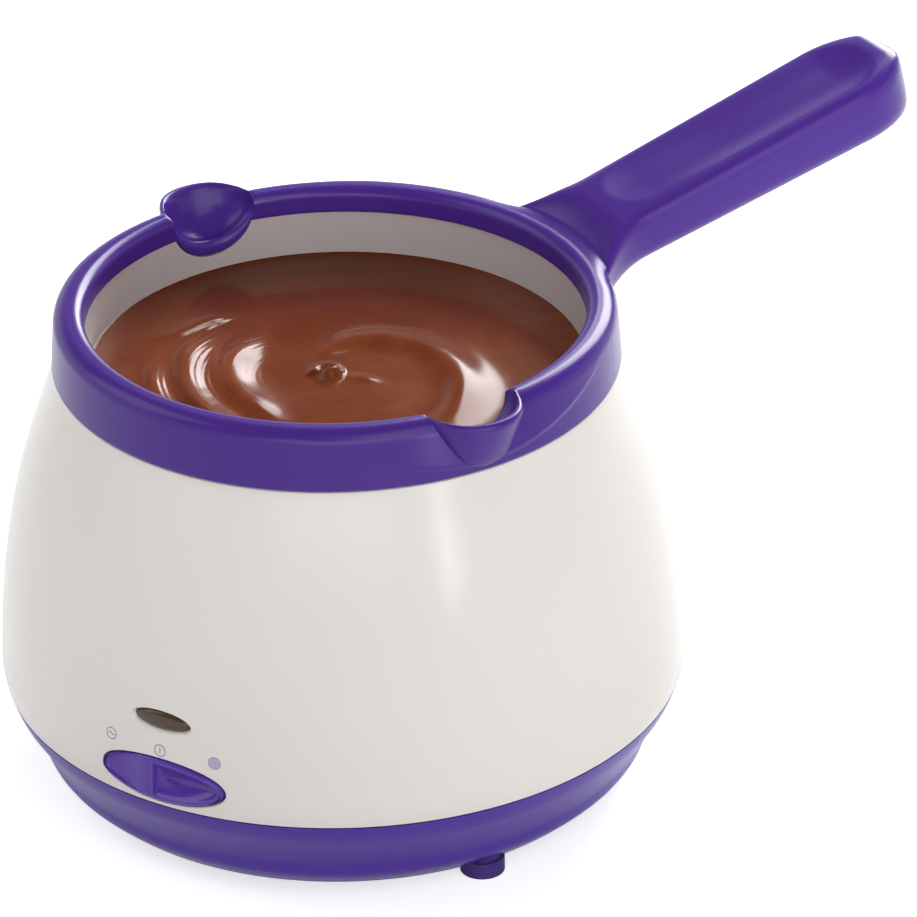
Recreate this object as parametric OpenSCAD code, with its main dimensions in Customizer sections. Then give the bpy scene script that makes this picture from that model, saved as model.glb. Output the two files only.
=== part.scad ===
/* [Body] */
// How far the body bulges out past the collar's top
body_bulge = 16.3; // [14:0.1:20]
// Height of the shoulder that the collar stands on
body_h = 106.6; // [102:0.2:114]
// Wall thickness of the housing
shell_wall = 2.4; // [2:0.1:2.8]
// Wall thickness of the base pan
pan_wall = 2.6; // [2.2:0.1:3]
// Floor thickness of the base pan
pan_floor = 2.5; // [2:0.1:3]
// Clear height that the feet give under the base
foot_h = 4; // [3:0.5:5]
// Width of one foot
foot_w = 10.6; // [9:0.2:12]

/* [Collar] */
// Inner width of the collar's mouth
mouth_w = 118; // [117:0.2:118.4]
// Thickness of the collar at its top
collar_t = 7.1; // [6.8:0.1:8.5]
// How much wider the collar's lower edge is
collar_flare = 2.2; // [1.4:0.2:3]
// Height of the collar from its lower edge to the rim
collar_h = 14.5; // [14:0.1:17]
// Height of the collar's inner lip
lip_h = 6.4; // [6:0.1:7]
// Rounding of the rim's outer edge
rim_round = 3.2; // [2:0.1:3.2]
// Rounding of the rim's inner edge
mouth_round = 2.6; // [1.6:0.1:2.8]

/* [Spouts] */
// Width of a spout's notch in the rim
spout_w = 21.9; // [18:0.1:24]
// How far a spout's lip stands out past the rim
spout_reach = 7.5; // [5:0.1:9]
// Depth of a spout's scoop below the rim
spout_drop = 10.5; // [8:0.1:10.6]
// Thickness of a spout's lip
spout_lip = 2.6; // [2:0.1:2.8]

/* [Handle] */
// Direction of the handle, the two spouts lie square to it
handle_turn = 61.4; // [50:0.2:72]
// Upward slope of the handle in degrees
handle_slope = 13.54; // [10:0.1:18]
// Length of the handle beyond the collar
handle_l = 96.6; // [80:0.2:120]
// Width of the grip at its root
handle_root_w = 26.8; // [24:0.2:30]
// Width of the grip at its end
handle_end_w = 29.5; // [26:0.1:34]
// Thickness of the grip at its root
handle_root_t = 14.2; // [13:0.2:16]
// Thickness of the grip at its end
handle_end_t = 18.2; // [16:0.2:22]
// Depth of the dished thumb rest along the grip
dish_depth = 1.8; // [1:0.1:2.4]

/* [Pot] */
// How far the collar's lip covers the cup's edge
lip_cover = 0.6; // [0.4:0.1:0.7]
// How much the cup narrows on each side down to its floor
cup_taper = 3.6; // [2.6:0.1:6]
// Wall thickness of the cup
cup_wall = 1.6; // [1.3:0.1:1.7]
// Floor thickness of the cup
cup_floor_t = 1.8; // [1.4:0.1:2.4]
// Height of the cup's inner floor above the table
cup_inside_z = 54.8; // [53:0.1:60]
// How far the chocolate stands below the rim
fill_below_rim = 17.7; // [14:0.1:30]

/* [Heater] */
// Sheet thickness of the heat well
well_wall = 1.2; // [0.8:0.1:1.4]
// Gap between the cup and the heat well
well_gap = 0.9; // [0.6:0.1:1]
// How far the heating disc stays inside the edge of the cup's floor
heater_inset = 20; // [18:0.5:26]
// Thickness of the heating disc
heater_t = 1.5; // [1:0.1:2]
// Thickness of the insulation pad
insulation_t = 2; // [1.5:0.1:3]
// Width of the thermostat's case
thermostat_w = 15.8; // [14:0.1:17]

/* [Switch] */
// Height of the wall between the seam and the selector
selector_lift = 1.55; // [1.2:0.05:3]
// Width of the selector's oval face
selector_w = 33.8; // [30:0.2:36]
// Height of the selector's oval face
selector_h = 11.3; // [9:0.1:12]
// Gap between the selector and its opening
selector_gap = 0.4; // [0.3:0.05:0.6]
// Width of the indicator lens
lens_w = 15; // [12:0.2:18]
// Height of the indicator lens
lens_h = 4.8; // [4:0.1:6]
// Height of the bare band between the selector and the indicator lens
icon_band_h = 7.15; // [6.5:0.05:9]

/* [Cord inlet] */
// Bore of the rubber gland where a cord enters
inlet_bore = 7; // [6:0.1:8]

/* [Hidden] */
$fn = 96;

// How far a cut runs past the face that it opens
overrun = 1;
// Gap left between pieces of one body that slide or screw together
fit_gap = 0.05;
// Gap left between the lifted pot and its seat
seat_gap = 0.3;
// Running clearance of a pin in its bore
pin_gap = 0.05;

// Body outline: shares of the height from the feet to the shoulder, and of the bulge past the shoulder
outline_height_shares = [0, 0.039, 0.083, 0.132, 0.185, 0.244, 0.312, 0.409, 0.526, 0.643, 0.76, 0.877, 1];
outline_bulge_shares = [0.155, 0.409, 0.508, 0.679, 0.886, 1, 0.984, 0.943, 0.855, 0.725, 0.534, 0.29, 0];
outline_last = len(outline_height_shares) - 1;
outline_steps = 40;

// Direction of the first spout, the second is opposite
spout_turn = handle_turn + 90;

// Gap between the collar's lower edge and the shoulder
collar_clear = 0.4;

// Heights that follow from the sizes above
collar_z = body_h + collar_clear;
rim_z = collar_z + collar_h;
lip_z = rim_z - lip_h;
mouth_r = mouth_w / 2;
collar_r = mouth_r + collar_t;
collar_low_r = collar_r + collar_flare / 2;
shoulder_step = 0.7;
shoulder_r = collar_low_r - shoulder_step;
body_w = 2 * (collar_r + body_bulge);

// Skirt, ledge and rebate under the collar
skirt_t = 2.7;
ledge_h = 3.1;
ledge_z = collar_z + ledge_h;
skirt_r = collar_low_r - skirt_t;
bead_t = 2.35;
cup_r = mouth_r + lip_cover;
cup_floor_r = cup_r - cup_taper;
rebate_r = cup_r + bead_t;

// Neck of the housing, which stands up inside the skirt
neck_gap = 0.3;
neck_outer_r = skirt_r - neck_gap;
neck_inner_r = rebate_r + neck_gap;
neck_top_z = ledge_z - seat_gap;
shoulder_t = 1.8;

function outline_slope(i) =
    i == 0 ? (outline_bulge_shares[1] - outline_bulge_shares[0])
        / (outline_height_shares[1] - outline_height_shares[0]) :
    i == outline_last ? (outline_bulge_shares[i] - outline_bulge_shares[i - 1])
        / (outline_height_shares[i] - outline_height_shares[i - 1]) :
    ((outline_bulge_shares[i + 1] - outline_bulge_shares[i])
        / (outline_height_shares[i + 1] - outline_height_shares[i])
    + (outline_bulge_shares[i] - outline_bulge_shares[i - 1])
        / (outline_height_shares[i] - outline_height_shares[i - 1])) / 2;

// Cubic curve through the outline's shares: value, slope and value, slope at the two ends
function hermite(p, m, q, n, t) = (2 * t * t * t - 3 * t * t + 1) * p + (t * t * t - 2 * t * t + t) * m
    + (3 * t * t - 2 * t * t * t) * q + (t * t * t - t * t) * n;

function outline_part(u, i = 0) =
    i >= outline_last - 1 || u < outline_height_shares[i + 1] ? i : outline_part(u, i + 1);

function outline_share(u) = let (i = outline_part(u), span = outline_height_shares[i + 1]
    - outline_height_shares[i]) hermite(outline_bulge_shares[i], span * outline_slope(i),
    outline_bulge_shares[i + 1], span * outline_slope(i + 1), (u - outline_height_shares[i]) / span);

// Outer radius of the body at a height
function body_r(z) = shoulder_r + (body_w / 2 - shoulder_r) * outline_share((z - foot_h) / (body_h - foot_h));

// Points of the body's outline between two heights, moved inwards by a wall
function outline_points(low, high, wall, count) =
    [for (i = [0 : count]) let (z = low + (high - low) * i / count) [body_r(z) - wall, z]];

function ellipse(a, b, count = 64) =
    [for (i = [0 : count - 1]) [a * cos(360 * i / count), b * sin(360 * i / count)]];

function reversed(points) = [for (i = [len(points) - 1 : -1 : 0]) points[i]];

function smooth(t) = t <= 0 ? 0 : t >= 1 ? 1 : t * t * (3 - 2 * t);

// Heights of the front, stacked from the feet: cord inlet, seam, selector, icons, lens
foot_sink = 1.8;
gland_wall = 2;
gland_flange_t = 2.4;
gland_neck_r = inlet_bore / 2 + gland_wall;
gland_flange_r = gland_neck_r + gland_flange_t;
gland_lift = 0.4;
inlet_z = foot_h + foot_sink + pan_floor + gland_lift + gland_flange_r;
inlet_boss_wall = 3;
inlet_boss_r = gland_neck_r + inlet_boss_wall;
seam_lift = 1.5;
seam_h = inlet_z + inlet_boss_r + seam_lift;
selector_z = seam_h + selector_lift + selector_h / 2;
lens_z = selector_z + selector_h / 2 + icon_band_h + lens_h / 2;

// Housing: screw bosses inside its wall, and the tongue of the pan that it stands over
seam_gap = 0.2;
tongue_h = 3;
tongue_t = 1.6;
tongue_gap = 0.15;
boss_r = 4.2;
boss_bore_r = 1.5;
boss_lift = 8;
boss_l = 32;
boss_low_z = foot_h + boss_lift;
boss_top_z = boss_low_z + boss_l;
boss_rib_t = 2.4;
boss_place_r = body_r(foot_h) - pan_wall - boss_r;
boss_turns = [45, 135, 225, 315];

// Base pan: sleeves for the screws, posts under the heat well, foot pads and vents
sleeve_wall = 1;
sleeve_r = boss_r + sleeve_wall;
screw_head_r = 3.2;
screw_head_h = 2.5;
screw_head_gap = 0.3;
screw_head_sink = 1;
screw_shank_r = boss_bore_r - fit_gap;
screw_grip = 16;
post_r = 4.5;
post_bore_r = 1.8;
heater_w = 2 * (cup_floor_r - heater_inset);
clamp_over = 1;
post_gap = 2.5;
post_place_r = heater_w / 2 + clamp_over + post_gap + post_r;
post_turns = [0, 120, 240];
foot_turns = [90, 210, 330];
foot_shoulder = 0.8;
foot_neck_r = foot_w / 2 - foot_shoulder;
foot_stem_r = 3;
foot_place_r = body_r(foot_h) - foot_stem_r;
foot_pad_t = 2.4;
vent_w = 3;
vent_l = 12;
vent_place_r = post_place_r - post_r - vent_w / 2 - vent_l;
vent_count = 12;

// Cord inlet: a boss on the pan's wall with a rubber gland in it
inlet_boss_l = 12;
inlet_proud = 2.9;
inlet_face = body_r(inlet_z) + inlet_proud;
inlet_inside = inlet_face - inlet_boss_l;
gland_l = inlet_face - inlet_inside + 2 * gland_flange_t;

// Pot cup and heat well, from the lip of the collar down
cup_under_z = cup_inside_z - cup_floor_t;
cup_corner = 8;
wall_lean = 10;
fill_z = rim_z - fill_below_rim;
fill_gap = 0.05;
notch_gap = 0.3;
well_floor_z = cup_under_z - seat_gap;
well_under_z = well_floor_z - well_wall;
shoulder_under_z = body_h - shoulder_t;
seal_t = 1.2;
flange_z = shoulder_under_z - seal_t;
flange_r = neck_outer_r;
stud_gap = 0.3;
stud_r = post_bore_r - stud_gap;
stud_l = 7.5;

// Inner radius of the cup at a height above its rounded corner
function cup_inner_r(z) = let (low_r = cup_floor_r - cup_corner * (1 - cos(wall_lean)),
    low_z = cup_inside_z + cup_corner * (1 - sin(wall_lean)))
    low_r + (cup_r - low_r) * (z - low_z) / (lip_z - low_z);

// Heater stack under the well
clamp_t = 1.2;
clamp_w = heater_w + 2 * clamp_over;
clamp_z = well_under_z - heater_t - insulation_t - clamp_t;
nut_h = 3.2;
nut_across = 7;
centre_stud_r = 2;
bush_h = 3;
post_top_z = well_under_z - bush_h;
thermostat_r = thermostat_w / 2;
thermostat_h = 7;
thermostat_x = heater_w / 4;
thermostat_y = 6;
tab_w = 6.3;
tab_t = 0.8;
tab_l = 8;
fuse_r = 2;
fuse_l = 11;
fuse_x = -heater_w / 4;
fuse_y = 10;
clip_t = 0.8;
clip_w = 6;
clip_foot = 6;

// Selector: an oval cap that rocks about an upright pin behind the housing wall
selector_face = body_r(selector_z);
pivot_depth = 4.6;
pivot_y = -(selector_face - pivot_depth);
selector_proud = 0.8;
selector_back = 3.2;
selector_round_r = sqrt(pow(selector_w / 2, 2) + pow(pivot_depth / 2, 2));
ridge_w = 3;
dish_r = 15;
dish_cut = 1.7;
pin_r = 1;
ear_t = 2;
ear_gap = 0.5;
ear_lip = 0.4;
ear_w = 8;
drive_w = 3;
drive_h = 4;
drive_l = 6.5;
bracket_t = 1.6;
bracket_depth = 7.4;
bracket_screw_r = 1.3;
bracket_post_r = 3.4;
bracket_post_gap = 0.6;
bracket_screw_x = selector_w / 2 + 2 * selector_gap + bracket_post_r + bracket_post_gap;
bracket_w = 2 * (bracket_screw_x + bracket_post_r);
bracket_h = 2 * (selector_h / 2 + ear_gap + ear_t);
bracket_y = pivot_y + bracket_depth;
switch_w = 24;
switch_h = 13;
switch_d = 16;
switch_y = bracket_y + bracket_t;
switch_slot_w = 14;
switch_tab_l = 5.6;

// Indicator: lens, lamp holder and lamp
lens_face = body_r(lens_z);
lens_proud = 0.4;
lens_rim = 1.2;
lens_rim_t = 1.4;
lamp_r = 2.6;
lamp_l = 12;
holder_wall = 1.2;
holder_back = 2.4;

// Terminal block and wires
block_w = 24;
block_d = 14;
block_h = 12;
block_gap = 6.9;
block_y = inlet_inside - gland_flange_t - block_gap - block_d;
block_screw_r = 2;
block_screw_sink = 2;
block_ways = 3;
wire_r = 1.1;

// Ring: angles of its sections, closer together across the spouts
mouth_half_turn = asin(spout_w / mouth_w);
cheek_turn = 38.6;
notch_steps = 9;
cheek_steps = 8;
plain_steps = 14;
plain_half_turn = 90;
outer_height_shares = [0, 0.05, 0.14, 0.24, 0.34, 0.46, 0.58, 0.7, 0.85, 1];
round_steps = 3;
scoop_steps = 5;
scoop_power = 2.2;
lip_band = 4;
nose_low = 1;
nose_power = 0.7;
cheek_in = 1.1;
cheek_out = 1;
cheek_low = 2.6;
cheek_rise = 9.5;
collar_foot_round = 0.5;

// Half of the angles, from the middle of a spout to the side of the ring
half_turns = concat(
    [for (i = [0 : notch_steps]) mouth_half_turn * sin(90 * i / notch_steps)],
    [for (i = [1 : cheek_steps]) mouth_half_turn
        + (cheek_turn - mouth_half_turn) * pow(i / cheek_steps, 1.3)],
    [for (i = [1 : plain_steps]) cheek_turn + (plain_half_turn - cheek_turn) * i / plain_steps]);
half_count = len(half_turns);
quarter = [for (i = [half_count - 1 : -1 : 1]) -half_turns[i]];
spout_turns = concat(quarter, [for (i = [0 : half_count - 2]) half_turns[i]]);
ring_turns = concat(spout_turns, [for (a = spout_turns) a + 180]);

function notch(a) = let (t = a / mouth_half_turn) abs(t) >= 1 ? 0 : sqrt(1 - t * t);

// Outward reach of the spout's nose at an angle from its middle and a height
function nose(a, z) = let (t = a / mouth_half_turn, rise = (z - collar_z - nose_low) / (collar_h - nose_low))
    rise <= t * t ? 0 : spout_reach * pow(rise - t * t, nose_power);

// Cheek beside a spout: leans in at the top and out at the bottom, and fades along the ring
function cheek(a, z) = let (fade = max(0, 1 - abs(a) / cheek_turn),
    low = collar_z + cheek_low + cheek_rise * pow(1 - fade, 1.6), high = rim_z - rim_round / 2,
    t = (z - low) / max(high - low, rim_round / 4))
    fade == 0 ? 0 : fade * (t < 0 ? cheek_out * smooth(1 + (z - low) / (cheek_low / 2))
        : cheek_out - (cheek_in + cheek_out) * min(t, 1));

function ring_outer(a, z) = collar_low_r + (collar_r - collar_low_r) * (z - collar_z) / collar_h
    + max(nose(a, z), cheek(a, z));

// Closed section of the ring at an angle from the middle of a spout
function ring_section(a) = let (drop = spout_drop * notch(a), inner_z = rim_z - drop,
    outer_round_z = rim_z - rim_round, edge = ring_outer(a, rim_z - rim_round / 2),
    inner_round = mouth_round + (spout_lip / 2 - mouth_round) * notch(a),
    lip_low = min(lip_z, inner_z - spout_lip), rebate_z = min(lip_z, lip_low + spout_lip / 3),
    band = max(edge - rim_round - lip_band / 4, mouth_r + inner_round + lip_band / 8))
    concat(
        [[skirt_r, collar_z], [collar_low_r - collar_foot_round, collar_z]],
        [for (f = outer_height_shares) let (z = collar_z + collar_foot_round
            + (outer_round_z - collar_z - collar_foot_round) * f) [ring_outer(a, z), z]],
        [for (i = [1 : round_steps]) let (b = 90 * i / round_steps)
            [edge - rim_round + rim_round * cos(b), outer_round_z + rim_round * sin(b)]],
        [for (i = [0 : scoop_steps]) let (f = 1 - i / scoop_steps)
            [mouth_r + inner_round + (band - mouth_r - inner_round) * f,
                rim_z - drop * (1 - pow(f, scoop_power))]],
        [for (i = [1 : round_steps]) let (b = 90 + 90 * i / round_steps)
            [mouth_r + inner_round + inner_round * cos(b), inner_z - inner_round + inner_round * sin(b)]],
        [[mouth_r, lip_low], [rebate_r, rebate_z], [rebate_r, ledge_z], [skirt_r, ledge_z]]);

// Tube over closed rings of points, with its ends closed by fans of triangles
module tube(rings) {
    rows = len(rings);
    columns = len(rings[0]);
    last = (rows - 1) * columns;
    polyhedron([for (ring = rings) each ring], concat(
        [for (i = [0 : rows - 2], j = [0 : columns - 1])
            let (a = i * columns, b = a + columns, k = (j + 1) % columns)
            each [[a + j, a + k, b + k], [a + j, b + k, b + j]]],
        [for (j = [1 : columns - 2]) each [[0, j + 1, j], [last, last + j, last + j + 1]]]), convexity = 8);
}

// Handle: rounded sections along a rising line, flared into the ring at the root
root_sink = 1.3;
root_h = 11.5;
root_z = collar_z + root_h;
root_flare_w = 13;
root_flare_l = 21;
root_top_drop = 4.4;
root_top_l = 10;
root_low_drop = 3.2;
root_low_l = 13;
end_l = 17.6;
end_power = 2.6;
end_round_top = 5.4;
end_round_low = 6.5;
patch_half_count = 6;
patch_first_index = 3;
patch_last_index = 2 + len(outer_height_shares) - 1 + round_steps;
top_power = 6;
low_power = 3.2;
root_power = 3;
dish_start = 12;
dish_end = 8;
dish_blend = 9;
dish_w_share = 0.8;
root_station_shares = [0.1, 0.16, 0.24, 0.34, 0.46, 0.6, 0.75, 0.88];
grip_station_shares = [0, 0.12, 0.24, 0.36, 0.5, 0.65, 0.8, 0.9];
end_station_count = 9;
end_share = 0.995;

handle_stations = concat(
    [for (f = root_station_shares) -root_sink + (root_flare_l + root_sink) * f],
    [for (f = grip_station_shares) root_flare_l + (handle_l - end_l - root_flare_l) * f],
    [for (i = [0 : end_station_count]) handle_l - end_l
        + end_l * end_share * sin(90 * i / end_station_count)]);

function handle_share(s) = s / handle_l;
function end_fall(s, r) = let (q = (s - handle_l + r) / r) q <= 0 ? 0 : r * (1 - sqrt(max(0, 1 - q * q)));
function root_fall(s, l) = pow(max(0, 1 - (s + root_sink) / l), 2.4);
function end_narrow(s) = let (e = (s - handle_l + end_l) / end_l)
    e <= 0 ? 1 : pow(1 - pow(e, end_power), 1 / end_power);

function grip_half_w(s) =
    (handle_root_w + (handle_end_w - handle_root_w) * handle_share(s)) / 2 * end_narrow(s)
    + root_flare_w * root_fall(s, root_flare_l);
function grip_half_t(s) = (handle_root_t + (handle_end_t - handle_root_t) * handle_share(s)) / 2;
function grip_top(s) = grip_half_t(s) - end_fall(s, end_round_top) - root_top_drop * root_fall(s, root_top_l);
function grip_low(s) = grip_half_t(s) - end_fall(s, end_round_low) + root_low_drop * root_fall(s, root_low_l);
function rounded(c, power) = sign(c) * pow(abs(c), 2 / power);

// Depth of the thumb rest at a station and a share of the half width
function dish(s, share) = let (along = smooth((s - dish_start) / dish_blend)
    * smooth((handle_l - dish_end - s) / dish_blend), across = max(0, 1 - pow(share / dish_w_share, 2)))
    dish_depth * along * across;

// Angles round the grip's section: up one side, across the top, down the other side, across the bottom
side_steps = patch_last_index - patch_first_index;
grip_angles = concat(
    [for (i = [0 : side_steps - 1]) -45 + 90 * i / side_steps],
    [for (i = [0 : 2 * patch_half_count - 1]) 45 + 90 * i / (2 * patch_half_count)],
    [for (i = [0 : side_steps - 1]) 135 + 90 * i / side_steps],
    [for (i = [0 : 2 * patch_half_count - 1]) 225 + 90 * i / (2 * patch_half_count)]);

function grip_section(s) = let (bend = 1 - smooth((s + root_sink) / root_flare_l),
    power = top_power + (root_power - top_power) * bend, root_r = collar_r - root_sink)
    [for (b = grip_angles) let (across = rounded(cos(b), sin(b) > 0 ? power : low_power),
        up = rounded(sin(b), sin(b) > 0 ? power : low_power), y = grip_half_w(s) * across,
        h = up > 0 ? (grip_top(s) - dish(s, across)) * up : grip_low(s) * up,
        back = bend * (root_r - sqrt(max(0, root_r * root_r - y * y))))
        [collar_r + s * cos(handle_slope) - h * sin(handle_slope) * (1 - bend) - back, y,
            root_z + s * sin(handle_slope) + h * (bend + (1 - bend) * cos(handle_slope))]];

// Collar: the ring's skin is left open at a patch of its outer wall, and the handle's skin grows from there
ring_rows = len(ring_turns);
ring_columns = len(ring_section(0));
ring_points = [for (turn = ring_turns) let (a = turn > 90 ? turn - 180 : turn, b = turn + 90)
    each [for (p = ring_section(a)) [p[0] * cos(b), p[0] * sin(b), p[1]]]];
grip_points = [for (s = handle_stations) each grip_section(s)];
loop = concat(
    [for (j = [patch_first_index : patch_last_index - 1]) [patch_half_count, j]],
    [for (i = [patch_half_count : -1 : 1 - patch_half_count]) [i, patch_last_index]],
    [for (j = [patch_last_index : -1 : patch_first_index + 1]) [-patch_half_count, j]],
    [for (i = [-patch_half_count : patch_half_count - 1]) [i, patch_first_index]]);

// The faces' diagonals are mirrored at each spout's middle, so both of its sides look alike
function before_spout(i) = (i + ring_rows) % (ring_rows / 2) < ring_rows / 4;
function ring_at(i, j) = ((i + ring_rows) % ring_rows) * ring_columns + j % ring_columns;
function in_patch(i, j) = i >= -patch_half_count && i < patch_half_count
    && j >= patch_first_index && j < patch_last_index;
function grip_at(i, k) = i < 0 ? ring_at(loop[k % len(loop)][0], loop[k % len(loop)][1])
    : len(ring_points) + i * len(loop) + k % len(loop);

module collar_skin() {
    last = len(handle_stations) - 1;
    polyhedron(concat(ring_points, grip_points), concat(
        [for (i = [-patch_half_count : ring_rows - patch_half_count - 1], j = [0 : ring_columns - 1])
            if (!in_patch(i, j))
            let (a = ring_at(i, j), b = ring_at(i, j + 1), c = ring_at(i + 1, j), d = ring_at(i + 1, j + 1))
            each before_spout(i) ? [[a, b, c], [b, d, c]] : [[a, b, d], [a, d, c]]],
        [for (i = [-1 : last - 1], k = [0 : len(loop) - 1])
            each [[grip_at(i, k), grip_at(i + 1, k + 1), grip_at(i, k + 1)],
                [grip_at(i, k), grip_at(i + 1, k), grip_at(i + 1, k + 1)]]],
        [for (k = [1 : len(loop) - 2]) [grip_at(last, 0), grip_at(last, k + 1), grip_at(last, k)]]),
        convexity = 8);
}

module around(turns, place_r) {
    for (turn = turns) rotate([0, 0, turn]) translate([place_r, 0, 0]) children();
}

module oval_prism(a, b, from_y, to_y, z) {
    translate([0, to_y, z]) rotate([90, 0, 0]) linear_extrude(to_y - from_y) polygon(ellipse(a, b));
}

module spout_notch(grow) {
    for (turn = [spout_turn, spout_turn + 180]) rotate([0, 0, turn])
        translate([mouth_r - overrun, 0, rim_z - spout_lip]) rotate([90, 0, 90])
            linear_extrude(rebate_r - mouth_r + 2 * overrun)
                polygon(ellipse(spout_w / 2 + grow, spout_drop + grow));
}

module housing_shell() {
    low = seam_h + seam_gap;
    recess_r = body_r(seam_h) - shell_wall;
    color("ivory") difference() {
        union() {
            rotate_extrude() polygon(concat(
                outline_points(low, body_h, 0, outline_steps),
                [[neck_outer_r, body_h], [neck_outer_r, neck_top_z], [neck_inner_r, neck_top_z],
                    [neck_inner_r, shoulder_under_z]],
                reversed(outline_points(low, shoulder_under_z, shell_wall, outline_steps))));
            around(boss_turns, boss_place_r)
                translate([0, 0, boss_low_z]) cylinder(h = boss_top_z - boss_low_z, r = boss_r);
            intersection() {
                around(boss_turns, boss_place_r) translate([0, -boss_rib_t / 2, seam_h + 2 * tongue_h])
                    cube([body_w / 2, boss_rib_t, boss_top_z - seam_h - 2 * tongue_h]);
                rotate_extrude() polygon(concat([[0, seam_h], [0, body_h]],
                    reversed(outline_points(seam_h, body_h, shell_wall / 2, outline_steps))));
            }
            for (side = [-1, 1]) translate([side * bracket_screw_x, 0, selector_z]) intersection() {
                translate([0, bracket_y, 0]) rotate([90, 0, 0])
                    cylinder(h = selector_face, r = bracket_post_r);
                translate([-side * bracket_screw_x, 0, -selector_z]) rotate_extrude()
                    polygon(concat([[0, seam_h], [0, body_h]],
                        reversed(outline_points(seam_h, body_h, shell_wall / 2, outline_steps))));
            }
        }
        around(boss_turns, boss_place_r) translate([0, 0, boss_low_z - overrun])
            cylinder(h = screw_grip + 2 * overrun, r = boss_bore_r);
        oval_prism(selector_w / 2 + 2 * selector_gap, selector_h / 2 + selector_gap,
            -body_w / 2 - overrun, pivot_y + selector_back, selector_z);
        oval_prism(lens_w / 2, lens_h / 2, -body_w / 2 - overrun, -lens_face / 2, lens_z);
        for (side = [-1, 1]) translate([side * bracket_screw_x, bracket_y + overrun, selector_z])
            rotate([90, 0, 0]) cylinder(h = 6 * bracket_screw_r, r = bracket_screw_r);
    }
}

module base_pan() {
    tongue_r = body_r(seam_h) - shell_wall - tongue_gap;
    color("rebeccapurple") difference() {
        union() {
            rotate_extrude() polygon(concat([[0, foot_h]],
                outline_points(foot_h, seam_h, 0, outline_steps / 2),
                [[tongue_r, seam_h], [tongue_r, seam_h + tongue_h], [tongue_r - tongue_t, seam_h + tongue_h],
                    [tongue_r - tongue_t, seam_h - tongue_h]],
                reversed(outline_points(foot_h + pan_floor, seam_h - 2 * tongue_h, pan_wall + tongue_t / 2,
                    outline_steps / 4)),
                [[0, foot_h + pan_floor]]));
            around(boss_turns, boss_place_r)
                translate([0, 0, foot_h]) cylinder(h = boss_low_z - foot_h, r = sleeve_r);
            around(post_turns, post_place_r)
                translate([0, 0, foot_h]) cylinder(h = post_top_z - foot_h, r = post_r);
            intersection() {
                around(foot_turns, foot_place_r) translate([0, 0, foot_h])
                    cylinder(h = foot_sink + pan_floor, r = foot_w / 2 + foot_pad_t);
                rotate_extrude() polygon(concat([[0, foot_h]],
                    outline_points(foot_h, seam_h, pan_wall / 2, outline_steps / 2), [[0, seam_h]]));
            }
            translate([0, inlet_inside, inlet_z]) rotate([-90, 0, 0])
                cylinder(h = inlet_face - inlet_inside, r = inlet_boss_r);
        }
        around(boss_turns, boss_place_r) {
            translate([0, 0, foot_h - overrun])
                cylinder(h = screw_head_sink + screw_head_h + overrun, r = screw_head_r + screw_head_gap);
            translate([0, 0, foot_h])
                cylinder(h = boss_low_z - foot_h + overrun, r = boss_bore_r + screw_head_gap);
        }
        around(post_turns, post_place_r)
            translate([0, 0, foot_h - overrun])
                cylinder(h = post_top_z - foot_h + 2 * overrun, r = post_bore_r);
        around(foot_turns, foot_place_r) translate([0, 0, foot_h - overrun])
            cylinder(h = foot_sink + overrun, r = foot_neck_r + fit_gap);
        around(foot_turns, foot_place_r) translate([0, 0, foot_h])
            cylinder(h = foot_sink + pan_floor + overrun, r = foot_stem_r + fit_gap);
        for (i = [0 : vent_count - 1]) rotate([0, 0, (i + 0.5) * 360 / vent_count])
            translate([vent_place_r, 0, foot_h - overrun]) linear_extrude(pan_floor + 2 * overrun) {
                translate([0, -vent_w / 2]) square([vent_l, vent_w]);
                circle(r = vent_w / 2);
                translate([vent_l, 0]) circle(r = vent_w / 2);
            }
        translate([0, inlet_inside - overrun, inlet_z]) rotate([-90, 0, 0])
            cylinder(h = body_w, r = gland_neck_r);
        translate([0, inlet_face, inlet_z]) rotate([-90, 0, 0])
            cylinder(h = body_w, r = gland_flange_r + 2 * screw_head_gap);
        intersection() {
            cylinder(h = body_h, r = tongue_r + overrun / 2);
            translate([-bracket_w / 2 - ear_gap, -body_w, selector_z - bracket_h / 2 - ear_gap])
                cube([bracket_w + 2 * ear_gap, body_w + switch_y + ear_gap, bracket_h]);
        }
    }
}

module foot_pads() {
    color("indigo") around(foot_turns, foot_place_r) {
        cylinder(h = foot_h, r = foot_w / 2);
        translate([0, 0, foot_h / 2]) cylinder(h = foot_h / 2 + foot_sink, r = foot_neck_r);
        translate([0, 0, foot_h]) cylinder(h = foot_sink + pan_floor, r = foot_stem_r);
    }
}

module housing_screws() {
    color("silver") around(boss_turns, boss_place_r) {
        translate([0, 0, foot_h + screw_head_sink]) difference() {
            cylinder(h = screw_head_h, r = screw_head_r);
            for (turn = [0, 90]) rotate([0, 0, turn])
                translate([-screw_head_r * 0.7, -screw_head_r / 8, -overrun])
                    cube([screw_head_r * 1.4, screw_head_r / 4, screw_head_h / 2 + overrun]);
        }
        translate([0, 0, foot_h + screw_head_sink + screw_head_h])
            cylinder(h = boss_low_z + screw_grip - foot_h - screw_head_sink - screw_head_h,
                r = screw_shank_r);
    }
}

module cord_gland() {
    color("dimgray") translate([0, inlet_inside - gland_flange_t, inlet_z]) rotate([-90, 0, 0]) difference() {
        union() {
            cylinder(h = gland_flange_t, r = gland_flange_r);
            cylinder(h = gland_l - gland_flange_t / 2, r = gland_neck_r - fit_gap);
            translate([0, 0, gland_l - gland_flange_t]) cylinder(h = gland_flange_t, r = gland_flange_r);
        }
        translate([0, 0, -overrun]) cylinder(h = gland_l + 2 * overrun, r = inlet_bore / 2);
    }
}

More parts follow.
